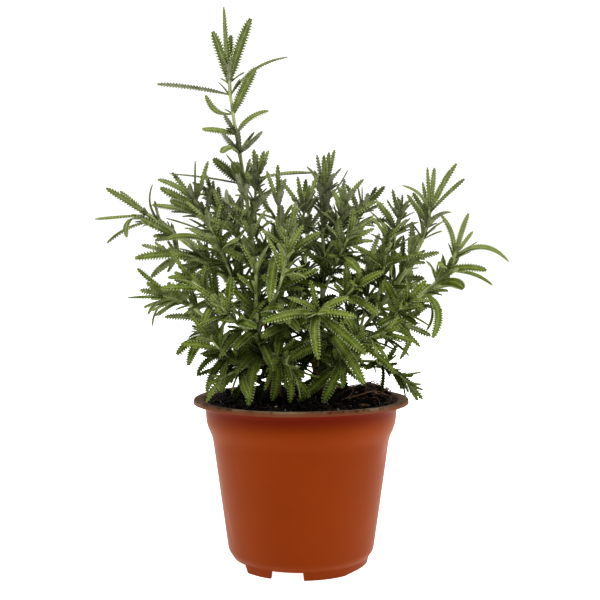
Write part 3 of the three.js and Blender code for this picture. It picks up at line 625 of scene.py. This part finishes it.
def build_shoot(node, material):
    stem, leaves = read_shoot(node)
    main = node.endswith("_stem")
    leader = node == "leader_stem"
    soup = Soup(LEAF_LAYERS + ("woody",), ("underside", "stem"))
    knots = sorted({round(leaf["place"], 2) for leaf in leaves})
    add_stem(soup, stem, knots, *(MAIN_STEM if main else SIDE_STEM))
    crowding = 0
    for leaf in leaves:
        reaching = leaf["reaching"]
        rise = unit(leaf["tip"] - leaf["root"])[2]
        young = leaf["place"] > YOUNG_FROM and rise > 0.5
        fill = YOUNG_FILL if young else MATURE_FILL if reaching else INNER_FILL
        if leader:
            short = np.linalg.norm(leaf["tip"] - leaf["root"]) < LONG_LEAF
            fill = LEADER_FILL if rise > 0.6 or short else YOUNG_FILL
        width = min(WIDEST_LEAF, leaf["width"] * fill * rng.uniform(0.9, 1.1))
        roll = turn_to_front(leaf) if leader else 0.0 if reaching else rng.normal(0, 24)
        add_leaf(soup, leaf, width, roll=roll, tone=rng.uniform(0, 1))
        crowding += leaf["place"] > CROWN and reaching
        if leaf["place"] < CROWN:
            add_axillary(soup, stem, leaf)
    if main:
        add_old_leaves(soup, stem)
    add_bud(soup, stem, CROWDED_BUD if crowding > 2 else 1.0)
    soup.piece(node + "_leafy", material, [node], "grey_green_leaf", sharp=70)


# ---- Pot ----

def rounded(points, radius, steps=4):
    """An outline whose inner corners are short curves. A point's third number is its own radius."""
    points = [tuple(p) if len(p) == 3 else (*p, radius) for p in points]
    outline = [np.array(points[0][:2], float)]
    for before, here, after in zip(points, points[1:], points[2:]):
        a, p, b = (np.array(q[:2], float) for q in (before, here, after))
        into, out = p - a, b - p
        cut = min(here[2], 0.48 * np.linalg.norm(into), 0.48 * np.linalg.norm(out))
        start, end = p - unit(into) * cut, p + unit(out) * cut
        for k in range(steps + 1):
            u = k / steps
            outline.append((1 - u) ** 2 * start + 2 * u * (1 - u) * p + u * u * end)
    outline.append(np.array(points[-1][:2], float))
    return np.array(outline)


def split_long(outline, longest):
    """Adds points so that no step is longer than longest, for dents and waves to bend."""
    result = [outline[0]]
    for a, b in zip(outline, outline[1:]):
        parts = max(1, int(np.ceil(np.linalg.norm(b - a) / longest)))
        result += [a + (b - a) * (k + 1) / parts for k in range(parts)]
    return np.array(result)


def pot_outline():
    lip = POT_HEIGHT - LIP_DROP
    foot = FOOT_RADIUS - FOOT_WALL
    points = [
        (0, BASE[1]),
        (foot, BASE[1], 0.4),
        (foot, 0, 0.4),
        (FOOT_RADIUS, 0, 0.5),
        (BASE[0], BASE[1], 0.5),
        (BODY_FOOT[0], BODY_FOOT[1], 3.5),
        (*SHOULDER, 2.6),
        (*COLLAR_FOOT, 3.0),
        (COLLAR_RADIUS, lip - 3.2, 2.0),
        (COLLAR_RADIUS + 1.6, lip + 0.5, 1.2),
        (RIM_RADIUS - 1.1, lip + 0.35, 0.5),
        (RIM_RADIUS - 0.9, lip - 0.15, 0.3),
        (RIM_RADIUS, lip - 0.1, 0.5),
        (RIM_RADIUS - 0.35, POT_HEIGHT, 1.0),
        (COLLAR_RADIUS + 0.6, POT_HEIGHT - 0.5, 1.4),
        (COLLAR_RADIUS - SHEET, lip - 3.5, 3.0),
        (COLLAR_FOOT[0] - SHEET, COLLAR_FOOT[1], 3),
        (SHOULDER[0] - SHEET, SHOULDER[1], 3),
        (BODY_FOOT[0] - SHEET, BODY_FOOT[1] + 1, 2),
        (BODY_FOOT[0] - SHEET - 1.6, BASE[1] + SHEET, 1),
        (0, BASE[1] + SHEET),
    ]
    return split_long(rounded(points, 1.0), 3.2)


def foot_notch(angles):
    """How high the foot's lower edge is at each compass angle: 0 where it stands."""
    height = np.zeros_like(angles)
    for at, width, rise, arched in FOOT_GAPS:
        away = np.abs((angles - at + 180) % 360 - 180)
        if arched:
            shape = np.clip(1 - (away / (width / 2)) ** 2, 0, 1) ** 0.6
        else:
            shape = np.clip((width / 2 - away) / 0.9, 0, 1)
        height = np.maximum(height, rise * shape)
    return height


def pot_angles(count):
    """Evenly spaced compass angles, with a few more at the sides of each gap in the foot."""
    angles = list(polygon_angles(count))
    for at, width, _, arched in FOOT_GAPS:
        for side in () if arched else (-1, 1):
            for shift in (0, -0.3, -0.6, -0.9):
                angles.append((at + side * (width / 2 + shift)) % 360)
    return np.unique(np.round(angles, 3))


def pot_wave(angle, z):
    """Small unevenness of a thin moulded pot, in millimetres of radius."""
    a = math.radians(angle)
    out = 0.16 * math.sin(2 * a + 0.7) + 0.08 * math.sin(3 * a + 2.0)
    dent = math.exp(-(((angle - 74) / 9) ** 2) - ((z - 70) / 5) ** 2)
    crease = math.exp(-(((angle - 292 + 0.35 * (z - 28)) / 3) ** 2) - ((z - 27) / 9) ** 2)
    return out * (z / POT_HEIGHT) - 0.7 * dent - 0.3 * crease


def foot_radius(z):
    """The radius of the foot ring's outer side at a height."""
    return np.interp(z, [0, BASE[1]], [FOOT_RADIUS, BASE[0]])


def rim_warp(angles):
    """How far the rim is out of true, in millimetres of height."""
    return 0.22 * np.sin(np.radians(angles * 2 + 40)) + 0.12 * np.sin(np.radians(angles * 5)) - 0.34


def build_pot(material):
    outline = pot_outline()
    angles = pot_angles(POT_COLUMNS)
    notch = foot_notch(angles)
    rings = []
    for radius, height in outline[1:-1]:
        z = np.full(len(angles), height)
        r = np.full(len(angles), radius)
        if radius > FOOT_RADIUS - FOOT_WALL - 0.5 and height < BASE[1] - 0.01:
            z = np.maximum(z, notch)
            if radius >= FOOT_RADIUS - 0.6:
                r = r + foot_radius(z) - foot_radius(height)
        r = r + np.array([pot_wave(angle, zz) for angle, zz in zip(angles, z)])
        if height > WARPED_FROM and radius > COLLAR_RADIUS - 2:
            z = z + rim_warp(angles)
        rings.append(np.column_stack([r[:, None] * compass(angles), z]))
    centres = [[0, 0, outline[0][1]], [0, 0, outline[-1][1]]]
    soup = Soup()
    soup.add(np.concatenate([*rings, centres]), bag_faces(len(rings), len(angles)))
    pot = soup.piece("pot_wall", material, ["nursery_pot"], "terracotta_plastic", sharp=POT_SHARP)
    cut_drain_holes(pot)


def cut_drain_holes(pot):
    """Round holes through the pot's floor."""
    cutter_soup = Soup()
    for i in range(DRAIN_HOLES):
        middle = compass(i * 360 / DRAIN_HOLES + 15) * DRAIN_CIRCLE
        ring = compass(polygon_angles(DRAIN_CORNERS)) * DRAIN_RADIUS + middle
        low = np.column_stack([ring, np.full(DRAIN_CORNERS, BASE[1] - 3)])
        high = np.column_stack([ring, np.full(DRAIN_CORNERS, BASE[1] + 4)])
        cutter_soup.add(np.concatenate([low, high]), tube_faces(2, DRAIN_CORNERS))
    cutter = add_object("drain_cutter", cutter_soup.mesh("drain_cutter"))
    cut = pot.modifiers.new("drain_holes", "BOOLEAN")
    cut.object = cutter
    cut.operation = "DIFFERENCE"
    cut.solver = "EXACT"
    bpy.context.view_layer.update()
    evaluated = pot.evaluated_get(bpy.context.evaluated_depsgraph_get())
    pot.data = bpy.data.meshes.new_from_object(evaluated)
    pot.modifiers.clear()
    bpy.data.objects.remove(cutter)
    pot.data.set_sharp_from_angle(angle=math.radians(POT_SHARP))


# ---- Soil and what lies on it ----

# The layer kind tells the soil finish what a face is of.
PEAT, WHITE_GRAIN, FIBRE, BARK = 0.0, 1.0, 2.0, 3.0


def soil_height(x, y):
    edge = np.minimum(1, np.hypot(x, y) / (COLLAR_RADIUS - SHEET))
    z = SOIL_LEVEL - SOIL_EDGE_DROP * edge**4
    for mx, my, height, reach in MOUNDS:
        away = np.hypot(x - mx, y - my) / reach
        z = z + height * np.exp(-away * away) * (1 - 0.4 * edge**6)
    return z


def rough(x, y, scale, seed):
    return noise.noise(Vector((x / scale, y / scale, seed)))


def soil_bump(x, y):
    """Crumbly relief on the soil's smooth shape, in millimetres."""
    return (
        1.1 * rough(x, y, 7, 1.3)
        + 1.2 * abs(rough(x, y, 3.2, 7.9))
        + 0.8 * abs(rough(x, y, 1.5, 4.1))
        - 0.6
    )


def soil_top(x, y):
    return soil_height(x, y) + soil_bump(x, y)


def crumb_shape():
    """A unit ball of 42 corners, as corners and faces."""
    ball = bmesh.new()
    bmesh.ops.create_icosphere(ball, subdivisions=2, radius=1)
    corners = np.array([v.co for v in ball.verts])
    faces = [tuple(v.index for v in f.verts) for f in ball.faces]
    ball.free()
    return corners, faces


def add_crumb(soup, shape, middle, size, flat, kind, tone):
    """A lumpy grain. flat is its height as a share of its size."""
    corners, faces = shape
    away = Vector((rng.uniform(0, 100), 0, 0))
    lumps = np.array([1 + 0.45 * noise.noise(Vector(c * 1.3) + away) for c in corners])
    stretch = np.array([rng.uniform(0.8, 1.35), rng.uniform(0.7, 1.1), flat])
    turn = rng.uniform(0, 2 * math.pi)
    c, s = math.cos(turn), math.sin(turn)
    places = corners * lumps[:, None] * stretch * size
    places = places @ np.array([[c, s, 0], [-s, c, 0], [0, 0, 1]])
    soup.add(places + middle, faces, {"kind": kind, "tone": tone})


def add_fibre(soup, start, heading, length, radius, tone, lift=0.2, bend=0.5, arc=0.8):
    """A thin bent root or straw that follows the soil. bend is how much it turns on its way and
    arc how far it may stand up off the soil."""
    steps = max(5, int(length / 2.2))
    s = np.linspace(0, 1, steps)
    angle = heading + rng.normal(0, bend) * s
    x = start[0] + np.cumsum(np.cos(angle)) * length / steps
    y = start[1] + np.cumsum(np.sin(angle)) * length / steps
    inside = np.minimum(1, FIBRE_REACH / np.maximum(np.hypot(x, y), 1e-6))
    x, y = x * inside, y * inside
    z = soil_height(x, y) + np.array([soil_bump(a, b) for a, b in zip(x, y)])
    z = np.convolve(np.pad(z, 1, mode="edge"), [0.25, 0.5, 0.25], mode="valid")
    z = z + radius + lift + arc * np.sin(math.pi * s) * rng.uniform(0, 1)
    points = np.column_stack([x, y, z])
    tangents = unit(np.gradient(points, axis=0))
    angles = np.radians(polygon_angles(FIBRE_CORNERS))
    section = np.column_stack([np.cos(angles), np.sin(angles)]) * radius
    vertices = rod_corners(points, tangents, section, 1 - 0.5 * s)
    soup.add(vertices, tube_faces(steps, FIBRE_CORNERS), {"kind": FIBRE, "tone": tone})


def add_soil_body(soup):
    """The mass of soil inside the pot, with its crumbly top."""
    inset = SHEET + SOIL_GAP
    wall = COLLAR_RADIUS - inset + 0.25
    rings, columns = 84, 240
    directions = compass(polygon_angles(columns))
    radii = wall * (np.arange(1, rings + 1) / rings) ** 0.85
    side = [
        (BODY_FOOT[0] - inset - 1.4, BASE[1] + inset),
        (BODY_FOOT[0] - inset, BODY_FOOT[1] + 1),
        (SHOULDER[0] - inset, SHOULDER[1]),
        (COLLAR_FOOT[0] - inset, COLLAR_FOOT[1]),
    ]
    rows = [np.column_stack([directions * r, np.full(columns, z)]) for r, z in side]
    for r in radii[::-1]:
        xy = directions * r
        bump = np.array([soil_bump(x, y) for x, y in xy])
        rows.append(np.column_stack([xy, soil_height(xy[:, 0], xy[:, 1]) + bump]))
    centres = [[0, 0, side[0][1]], [0, 0, soil_top(0, 0)]]
    faces = bag_faces(len(rows), columns)
    soup.add(np.concatenate([*rows, centres]), faces, {"kind": PEAT, "tone": 0.5})


def add_grains(soup):
    shape = crumb_shape()
    for _ in range(CRUMBS):
        x, y = scattered(55)
        size = 0.5 + 1.7 * rng.random() ** 2.0
        z = soil_top(x, y) + 0.25 * size
        add_crumb(soup, shape, (x, y, z), size, rng.uniform(0.6, 0.95), PEAT, rng.random())
    for _ in range(PERLITE):
        x, y = scattered(54)
        size = rng.uniform(0.35, 1.05)
        z = soil_top(x, y) + 0.4 * size
        add_crumb(soup, shape, (x, y, z), size, 0.8, WHITE_GRAIN, rng.random())


def add_fibres(soup):
    """Fibres all over the soil, and more of them piled on its highest mound."""
    for _ in range(FIBRES):
        start, heading = scattered(50), rng.uniform(0, 2 * math.pi)
        length, radius = rng.uniform(5, 17), rng.uniform(0.1, 0.24)
        add_fibre(soup, start, heading, length, radius, 0.6 * rng.random())
    heap = np.array(MOUNDS[0][:2])
    for _ in range(MOUND_FIBRES):
        start = heap + np.array(scattered(17)) + [2, -2]
        heading, length = rng.uniform(0, 2 * math.pi), rng.uniform(7, 20)
        radius, tone = rng.uniform(0.08, 0.22), rng.random()
        add_fibre(soup, start, heading, length, radius, tone, bend=1.2, arc=3.0)


def build_soil(material):
    soup = Soup(("kind", "tone"))
    add_soil_body(soup)
    add_grains(soup)
    add_fibres(soup)
    soup.piece("soil_surface", material, ["potting_soil"], "damp_peat", sharp=80)


def scattered(reach):
    """A place picked evenly over a disc."""
    r, a = reach * math.sqrt(rng.random()), rng.uniform(0, 2 * math.pi)
    return r * math.cos(a), r * math.sin(a)


def build_straw(node, material):
    """A straw along its CAD straw, and a shorter and thinner one beside it."""
    corners, _ = welded(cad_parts[node])
    axis = np.linalg.svd(corners - corners.mean(0), full_matrices=False)[2][0]
    along = corners @ axis
    start, end = corners[np.argmin(along)], corners[np.argmax(along)]
    soup = Soup(("kind", "tone"))
    heading = math.atan2(end[1] - start[1], end[0] - start[0])
    length = np.hypot(*(end - start)[:2])
    add_fibre(soup, start[:2], heading, length, 0.5, 0.9, lift=0.3)
    add_fibre(soup, start[:2] + [1.2, 0.8], heading + 0.12, 0.7 * length, 0.32, 0.6, lift=0.5)
    soup.piece(node + "_fibre", material, [node], "dry_straw", sharp=60)


def build_bark_chip(material):
    low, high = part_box("bark_chip")
    middle = (np.array(low) + np.array(high)) / 2 / MM
    corners, faces = crumb_shape()
    size = (np.array(high) - np.array(low)) / 2 / MM
    lumps = np.array([1 + 0.3 * noise.noise(Vector(c * 2.1)) for c in corners])
    soup = Soup(("kind", "tone"))
    soup.add(corners * lumps[:, None] * size + middle, faces, {"kind": BARK, "tone": 0.5})
    soup.piece("bark_flake", material, ["bark_chip"], "brown_bark", sharp=30)


def build_woody_base(node, material):
    """A gnarled rooted foot: a lumpy, grooved post with a rounded top."""
    low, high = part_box(node)
    middle = (np.array(low) + np.array(high)) / 2 / MM
    radius = (high.x - low.x) / 2 / MM
    bottom, top = low.z / MM - 1.5, high.z / MM
    rows, columns = 34, 40
    angles = polygon_angles(columns)
    directions = compass(angles)
    vertices = []
    seed = middle[0]
    for share in np.linspace(0, 1, rows):
        z = bottom + (top - bottom) * share
        dome = math.sqrt(max(0.02, 1 - max(0, (share - 0.72) / 0.28) ** 2))
        for angle, direction in zip(angles, directions):
            spot = Vector((direction[0] * 1.4, direction[1] * 1.4, z / 5 + seed))
            lump = 1 + 0.16 * noise.noise(spot)
            groove = 0.05 * math.sin(math.radians(angle) * 9 + z * 0.35 + seed)
            r = radius * (0.82 + 0.22 * (1 - share) ** 2) * dome * (lump + groove)
            vertices.append((middle[0] + direction[0] * r, middle[1] + direction[1] * r, z))
    soup = Soup(("kind", "tone"))
    soup.add(vertices, tube_faces(rows, columns), {"kind": BARK, "tone": 0.5})
    soup.piece(node + "_bark", material, [node], "brown_bark", sharp=60)


# ---- Materials ----

def colour(red, green, blue):
    """A linear colour from the 0 to 255 values of a screen."""
    screen = [value / 255 for value in (red, green, blue)]
    linear = [c / 12.92 if c <= 10 / 255 else ((c + 0.055) / 1.055) ** 2.4 for c in screen]
    return (*linear, 1.0)


class Nodes:
    """Short ways to add nodes to a tree and to join them."""

    def __init__(self, tree):
        self.tree = tree

    def node(self, kind, sockets=None, **settings):
        """A new node, with what goes into its sockets."""
        made = self.tree.nodes.new("ShaderNode" + kind)
        for key, value in settings.items():
            setattr(made, key, value)
        for name, value in (sockets or {}).items():
            self.put(value, made.inputs[name])
        return made

    def put(self, value, socket):
        """Joins a node's output to a socket, or sets it: to a screen colour, a vector or a number."""
        if isinstance(value, bpy.types.NodeSocket):
            self.tree.links.new(value, socket)
        else:
            socket.default_value = colour(*value) if socket.type == "RGBA" else value

    def ramp(self, value, low, high, start=0.0, end=1.0):
        """value from low to high becomes start to end, smoothly."""
        span = {"From Min": low, "From Max": high, "To Min": start, "To Max": end}
        made = self.node("MapRange", {"Value": value, **span}, interpolation_type="SMOOTHSTEP")
        return made.outputs[0]


class Finish(Nodes):
    """A material."""

    def __init__(self, name, roughness, **settings):
        self.material = bpy.data.materials.new(name)
        self.material.use_nodes = True
        super().__init__(self.material.node_tree)
        self.shader = self.tree.nodes["Principled BSDF"]
        self.shader.inputs["Roughness"].default_value = roughness
        for socket, value in settings.items():
            self.shader.inputs[socket.replace("_", " ")].default_value = value

    def layer(self, name):
        return self.node("Attribute", attribute_name=name, attribute_type="GEOMETRY").outputs["Fac"]

    def place(self):
        return self.node("TexCoord").outputs["Object"]

    def height(self):
        return self.node("SeparateXYZ", {0: self.place()}).outputs["Z"]

    def radius(self):
        """The distance from the pot's axis."""
        flat = self.node("VectorMath", {0: self.place(), 1: (1, 1, 0)}, operation="MULTIPLY")
        length = self.node("VectorMath", {0: flat.outputs[0]}, operation="LENGTH")
        return length.outputs["Value"]

    def math(self, operation, a, b=0.0):
        return self.node("Math", {0: a, 1: b}, operation=operation).outputs[0]

    def times(self, a, b):
        return self.math("MULTIPLY", a, b)

    def noise(self, scale, detail=3.0, rough=0.55, stretch=None):
        place = self.place()
        if stretch:
            place = self.node("Mapping", {"Scale": stretch, "Vector": place}).outputs[0]
        sockets = {"Scale": scale, "Detail": detail, "Roughness": rough, "Vector": place}
        return self.node("TexNoise", sockets).outputs["Fac"]

    def blend(self, share, a, b):
        """a where share is 0, b where it is 1."""
        return self.node("Mix", {"Factor": share, 6: a, 7: b}, data_type="RGBA").outputs[2]

    def colour(self, value):
        self.put(value, self.shader.inputs["Base Color"])

    def roughness(self, value):
        self.put(value, self.shader.inputs["Roughness"])

    def bump(self, height, strength, distance):
        sockets = {"Strength": strength, "Distance": distance, "Height": height}
        self.put(self.node("Bump", sockets).outputs[0], self.shader.inputs["Normal"])


def leaf_finish():
    """Green above and felted pale below, darker where a leaf is old and with painted shade in the
    bush, painted shade in the grooves and hollows, a painted highlight on the pale tooth margins, and
    the stems' own colours.
    """
    f = Finish("lavender_leaf", 0.62, Specular_IOR_Level=0.04)
    tone, under, stem, age_and_shade = (f.layer(name) for name in ("tone", "underside", "stem", "age_and_shade"))
    away = f.math("ABSOLUTE", f.layer("across"))
    mottle = f.noise(230, 4)
    tooth = f.math("COSINE", f.times(f.layer("ribs"), 2 * math.pi))
    young = f.blend(tone, (74, 90, 14), (112, 126, 56))
    # Darker green where a leaf is old, together with painted shade, inside and low in the bush.
    old_and_shaded = f.blend(tone, (12, 20, 0), (60, 76, 2))
    upper = f.blend(age_and_shade, young, old_and_shaded)
    bloom = f.blend(age_and_shade, (136, 144, 96), (64, 80, 10))
    upper = f.blend(f.ramp(mottle, 0.42, 0.72, 0, 0.5), upper, bloom)
    # Painted shade in the small hollows of the wrinkled blade, as a fine dark speckle.
    wrinkle_shade_noise = f.noise(1000, 2, 0.5)
    hollow_shade = f.blend(age_and_shade, (44, 58, 6), (8, 14, 0))
    upper = f.blend(f.ramp(wrinkle_shade_noise, 0.42, 0.66, 0, 0.42), upper, hollow_shade)
    # Painted shade: near-black in the grooves between the teeth, towards the margins.
    groove = f.times(f.ramp(tooth, 0.2, -0.55, 0, 0.92), f.ramp(away, 0.4, 0.72))
    upper = f.blend(groove, upper, f.blend(age_and_shade, (20, 28, 4), (3, 7, 0)))
    # Pale tooth margins: partly the leaf's pale felt, partly a painted highlight where the rolled
    # margins catch light.
    felt_and_highlight_fringe = f.times(f.ramp(away, 0.62, 1.0, 0, 0.62), f.ramp(tooth, -0.3, 0.4))
    upper = f.blend(felt_and_highlight_fringe, upper, f.blend(age_and_shade, (182, 188, 152), (70, 84, 24)))
    vein = f.blend(age_and_shade, (150, 160, 104), (84, 100, 32))
    upper = f.blend(f.ramp(away, 0.13, 0.03, 0, 0.45), upper, vein)
    crown = f.ramp(f.height(), 0.195, 0.23)
    felt = f.blend(crown, (88, 98, 48), (92, 97, 68))
    pale_felt = f.blend(crown, (130, 138, 92), (130, 134, 106))
    lower = f.blend(f.ramp(mottle, 0.3, 0.7), felt, pale_felt)
    # Painted shade: undersides darker inside and low in the bush.
    lower = f.blend(f.times(age_and_shade, 0.92), lower, (30, 42, 0))
    lower = f.blend(f.ramp(away, 0.2, 0.05, 0, 0.5), lower, (160, 166, 124))
    blade = f.blend(under, upper, lower)
    veil = f.ramp(f.height(), 0.175, 0.205, 0, 0.09)
    blade = f.blend(veil, blade, (142, 130, 134))
    blade = f.blend(f.ramp(f.layer("along"), 0.12, 0.0, 0, 0.4), blade, (118, 132, 60))
    streak = f.noise(420, 3, 0.6, stretch=(1, 1, 0.12))
    green = f.blend(f.ramp(streak, 0.3, 0.7), (128, 136, 82), (164, 171, 128))
    brown = f.blend(f.ramp(streak, 0.3, 0.7), (84, 66, 24), (146, 122, 58))
    rod = f.blend(f.ramp(f.layer("woody"), 0.15, 0.75), green, brown)
    f.colour(f.blend(stem, blade, rod))
    pleats = f.times(tooth, f.ramp(away, 0.4, 0.8))
    f.bump(f.math("ADD", pleats, f.times(mottle, 2.0)), 0.4, 0.0002)
    return f.material


def pot_finish():
    """Terracotta-coloured plastic with painted shadow under its rim, dusty on its rim and soiled
    where it touches the soil.
    """
    f = Finish(
        "terracotta_plastic",
        0.38,
        Specular_IOR_Level=0.02,
        Sheen_Weight=0.15,
        Sheen_Roughness=0.55,
        Sheen_Tint=(1, 0.72, 0.55, 1),
    )
    cloud = f.noise(26, 4, 0.55)
    grain = f.noise(900, 2, 0.6)
    body = f.blend(f.ramp(cloud, 0.3, 0.7), (117, 46, 0), (121, 48, 0))
    high, out = f.height(), f.radius()
    # Painted shadow of the rim: darker from just under the rim upwards.
    body = f.blend(f.ramp(high, 0.086, 0.0955), body, (96, 22, 0))
    patchy = f.ramp(f.noise(70, 5, 0.6), 0.25, 0.6, 0.7, 1.0)
    dust = f.times(f.ramp(high, 0.0968, 0.0985), patchy)
    dusty = f.blend(f.ramp(f.noise(45, 3), 0.35, 0.65), (72, 52, 35), (112, 96, 78))
    body = f.blend(dust, body, dusty)
    lip = f.times(f.ramp(out, 0.0643, 0.0648), f.ramp(high, 0.1000, 0.0990))
    body = f.blend(f.times(lip, 0.8), body, (98, 54, 30))
    specks = f.times(f.ramp(high, 0.0985, 0.1), f.ramp(f.noise(210, 4, 0.65), 0.5, 0.62))
    inside = f.times(f.ramp(out, 0.0570, 0.0567), f.ramp(high, 0.086, 0.09))
    soiled = f.math("MAXIMUM", specks, f.times(inside, 0.94))
    body = f.blend(soiled, body, (34, 24, 17))
    f.colour(body)
    f.roughness(f.math("ADD", f.ramp(cloud, 0.3, 0.7, 0.4, 0.43), f.times(dust, 0.4)))
    f.bump(f.math("ADD", grain, f.times(cloud, 3)), 0.12, 0.0002)
    return f.material


def soil_finish():
    """One finish for soil, perlite, fibres and bark, told apart by the layer kind."""
    f = Finish("damp_peat", 0.75, Specular_IOR_Level=0.12)
    kind, tone = f.layer("kind"), f.layer("tone")
    fine = f.noise(1400, 4, 0.65)
    peat = f.blend(tone, (8, 6, 5), (30, 22, 16))
    peat = f.blend(f.ramp(fine, 0.35, 0.7, 0, 0.7), peat, (5, 4, 3))
    perlite = f.blend(f.ramp(fine, 0.3, 0.7), (150, 140, 124), (214, 208, 196))
    fibre = f.blend(tone, (34, 22, 15), (146, 112, 90))
    streak = f.noise(500, 4, 0.65, stretch=(1, 1, 0.2))
    bark = f.blend(f.ramp(streak, 0.35, 0.65), (44, 30, 18), (118, 90, 54))
    mixed = f.blend(f.ramp(kind, 0.4, 0.6), peat, perlite)
    mixed = f.blend(f.ramp(kind, 1.4, 1.6), mixed, fibre)
    f.colour(f.blend(f.ramp(kind, 2.4, 2.6), mixed, bark))
    f.roughness(f.ramp(fine, 0.3, 0.7, 0.55, 0.9))
    f.bump(f.math("ADD", fine, streak), 0.6, 0.0004)
    return f.material


def floor_finish():
    f = Finish(
        "pale_floor",
        0.8,
        Specular_IOR_Level=0.0,
        Emission_Color=(1, 1, 1, 1),
        Emission_Strength=0.8,
    )
    f.colour(f.blend(f.ramp(f.noise(3, 2), 0.3, 0.7), (214, 214, 214), (220, 220, 220)))
    return f.material


# ---- Stage, light and camera ----

def add_floor():
    mesh = bpy.data.meshes.new("floor")
    signs = ((-1, -1), (1, -1), (1, 1), (-1, 1))
    mesh.from_pydata([(x * FLOOR_REACH, y * FLOOR_REACH, 0) for x, y in signs], [], [(0, 1, 2, 3)])
    mesh.materials.append(floor_finish())
    floor = add_object("floor", mesh)


def add_softbox(name, place, aim, size, power):
    light = bpy.data.lights.new(name, "AREA")
    light.shape = "RECTANGLE"
    light.size, light.size_y = size
    light.energy = power
    lamp = add_object(name, light)
    lamp.location = place
    lamp.rotation_euler = (Vector(aim) - Vector(place)).to_track_quat("-Z", "Y").to_euler()


def add_world():
    """A white studio: white behind and at the sides, dimmer towards the front. The camera sees it
    plain white."""
    world = bpy.data.worlds.new("studio")
    world.use_nodes = True
    world.node_tree.nodes.clear()
    sky = Nodes(world.node_tree)
    split = sky.node("SeparateXYZ", {0: sky.node("TexCoord").outputs["Generated"]})
    front = sky.ramp(split.outputs["Y"], *WORLD_FADE, WORLD_FRONT, WORLD_BACK)
    white = (255, 255, 255)
    lit = sky.node("Background", {"Color": white, "Strength": front})
    plain = sky.node("Background", {"Color": white, "Strength": 1.0})
    seen = sky.node("LightPath").outputs["Is Camera Ray"]
    mix = sky.node("MixShader", {0: seen, 1: lit.outputs[0], 2: plain.outputs[0]})
    sky.node("OutputWorld", {"Surface": mix.outputs[0]})
    bpy.context.scene.world = world


def add_camera():
    camera = bpy.data.cameras.new("camera")
    camera.lens = CAMERA_LENS
    camera.sensor_width = 36
    camera.clip_start = 0.01
    holder = add_object("camera", camera)
    holder.location = CAMERA_PLACE
    holder.rotation_euler = (math.radians(90 - CAMERA_PITCH), 0, 0)
    bpy.context.scene.camera = holder


# ---- The whole scene ----

leaf_material = leaf_finish()
soil_material = soil_finish()
build_pot(pot_finish())
build_soil(soil_material)
for straw in ("straw_long", "straw_short"):
    build_straw(straw, soil_material)
build_bark_chip(soil_material)
for base in ("woody_base_left", "woody_base_right"):
    build_woody_base(base, soil_material)
for shoot in sorted(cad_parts):
    if shoot.endswith("_stem") or shoot.startswith("shoot_"):
        build_shoot(shoot, leaf_material)

add_floor()
add_world()
for softbox in SOFTBOXES:
    add_softbox(*softbox)
bpy.context.scene.view_settings.view_transform = "Standard"
bpy.context.scene.view_settings.look = "Medium High Contrast"
add_camera()
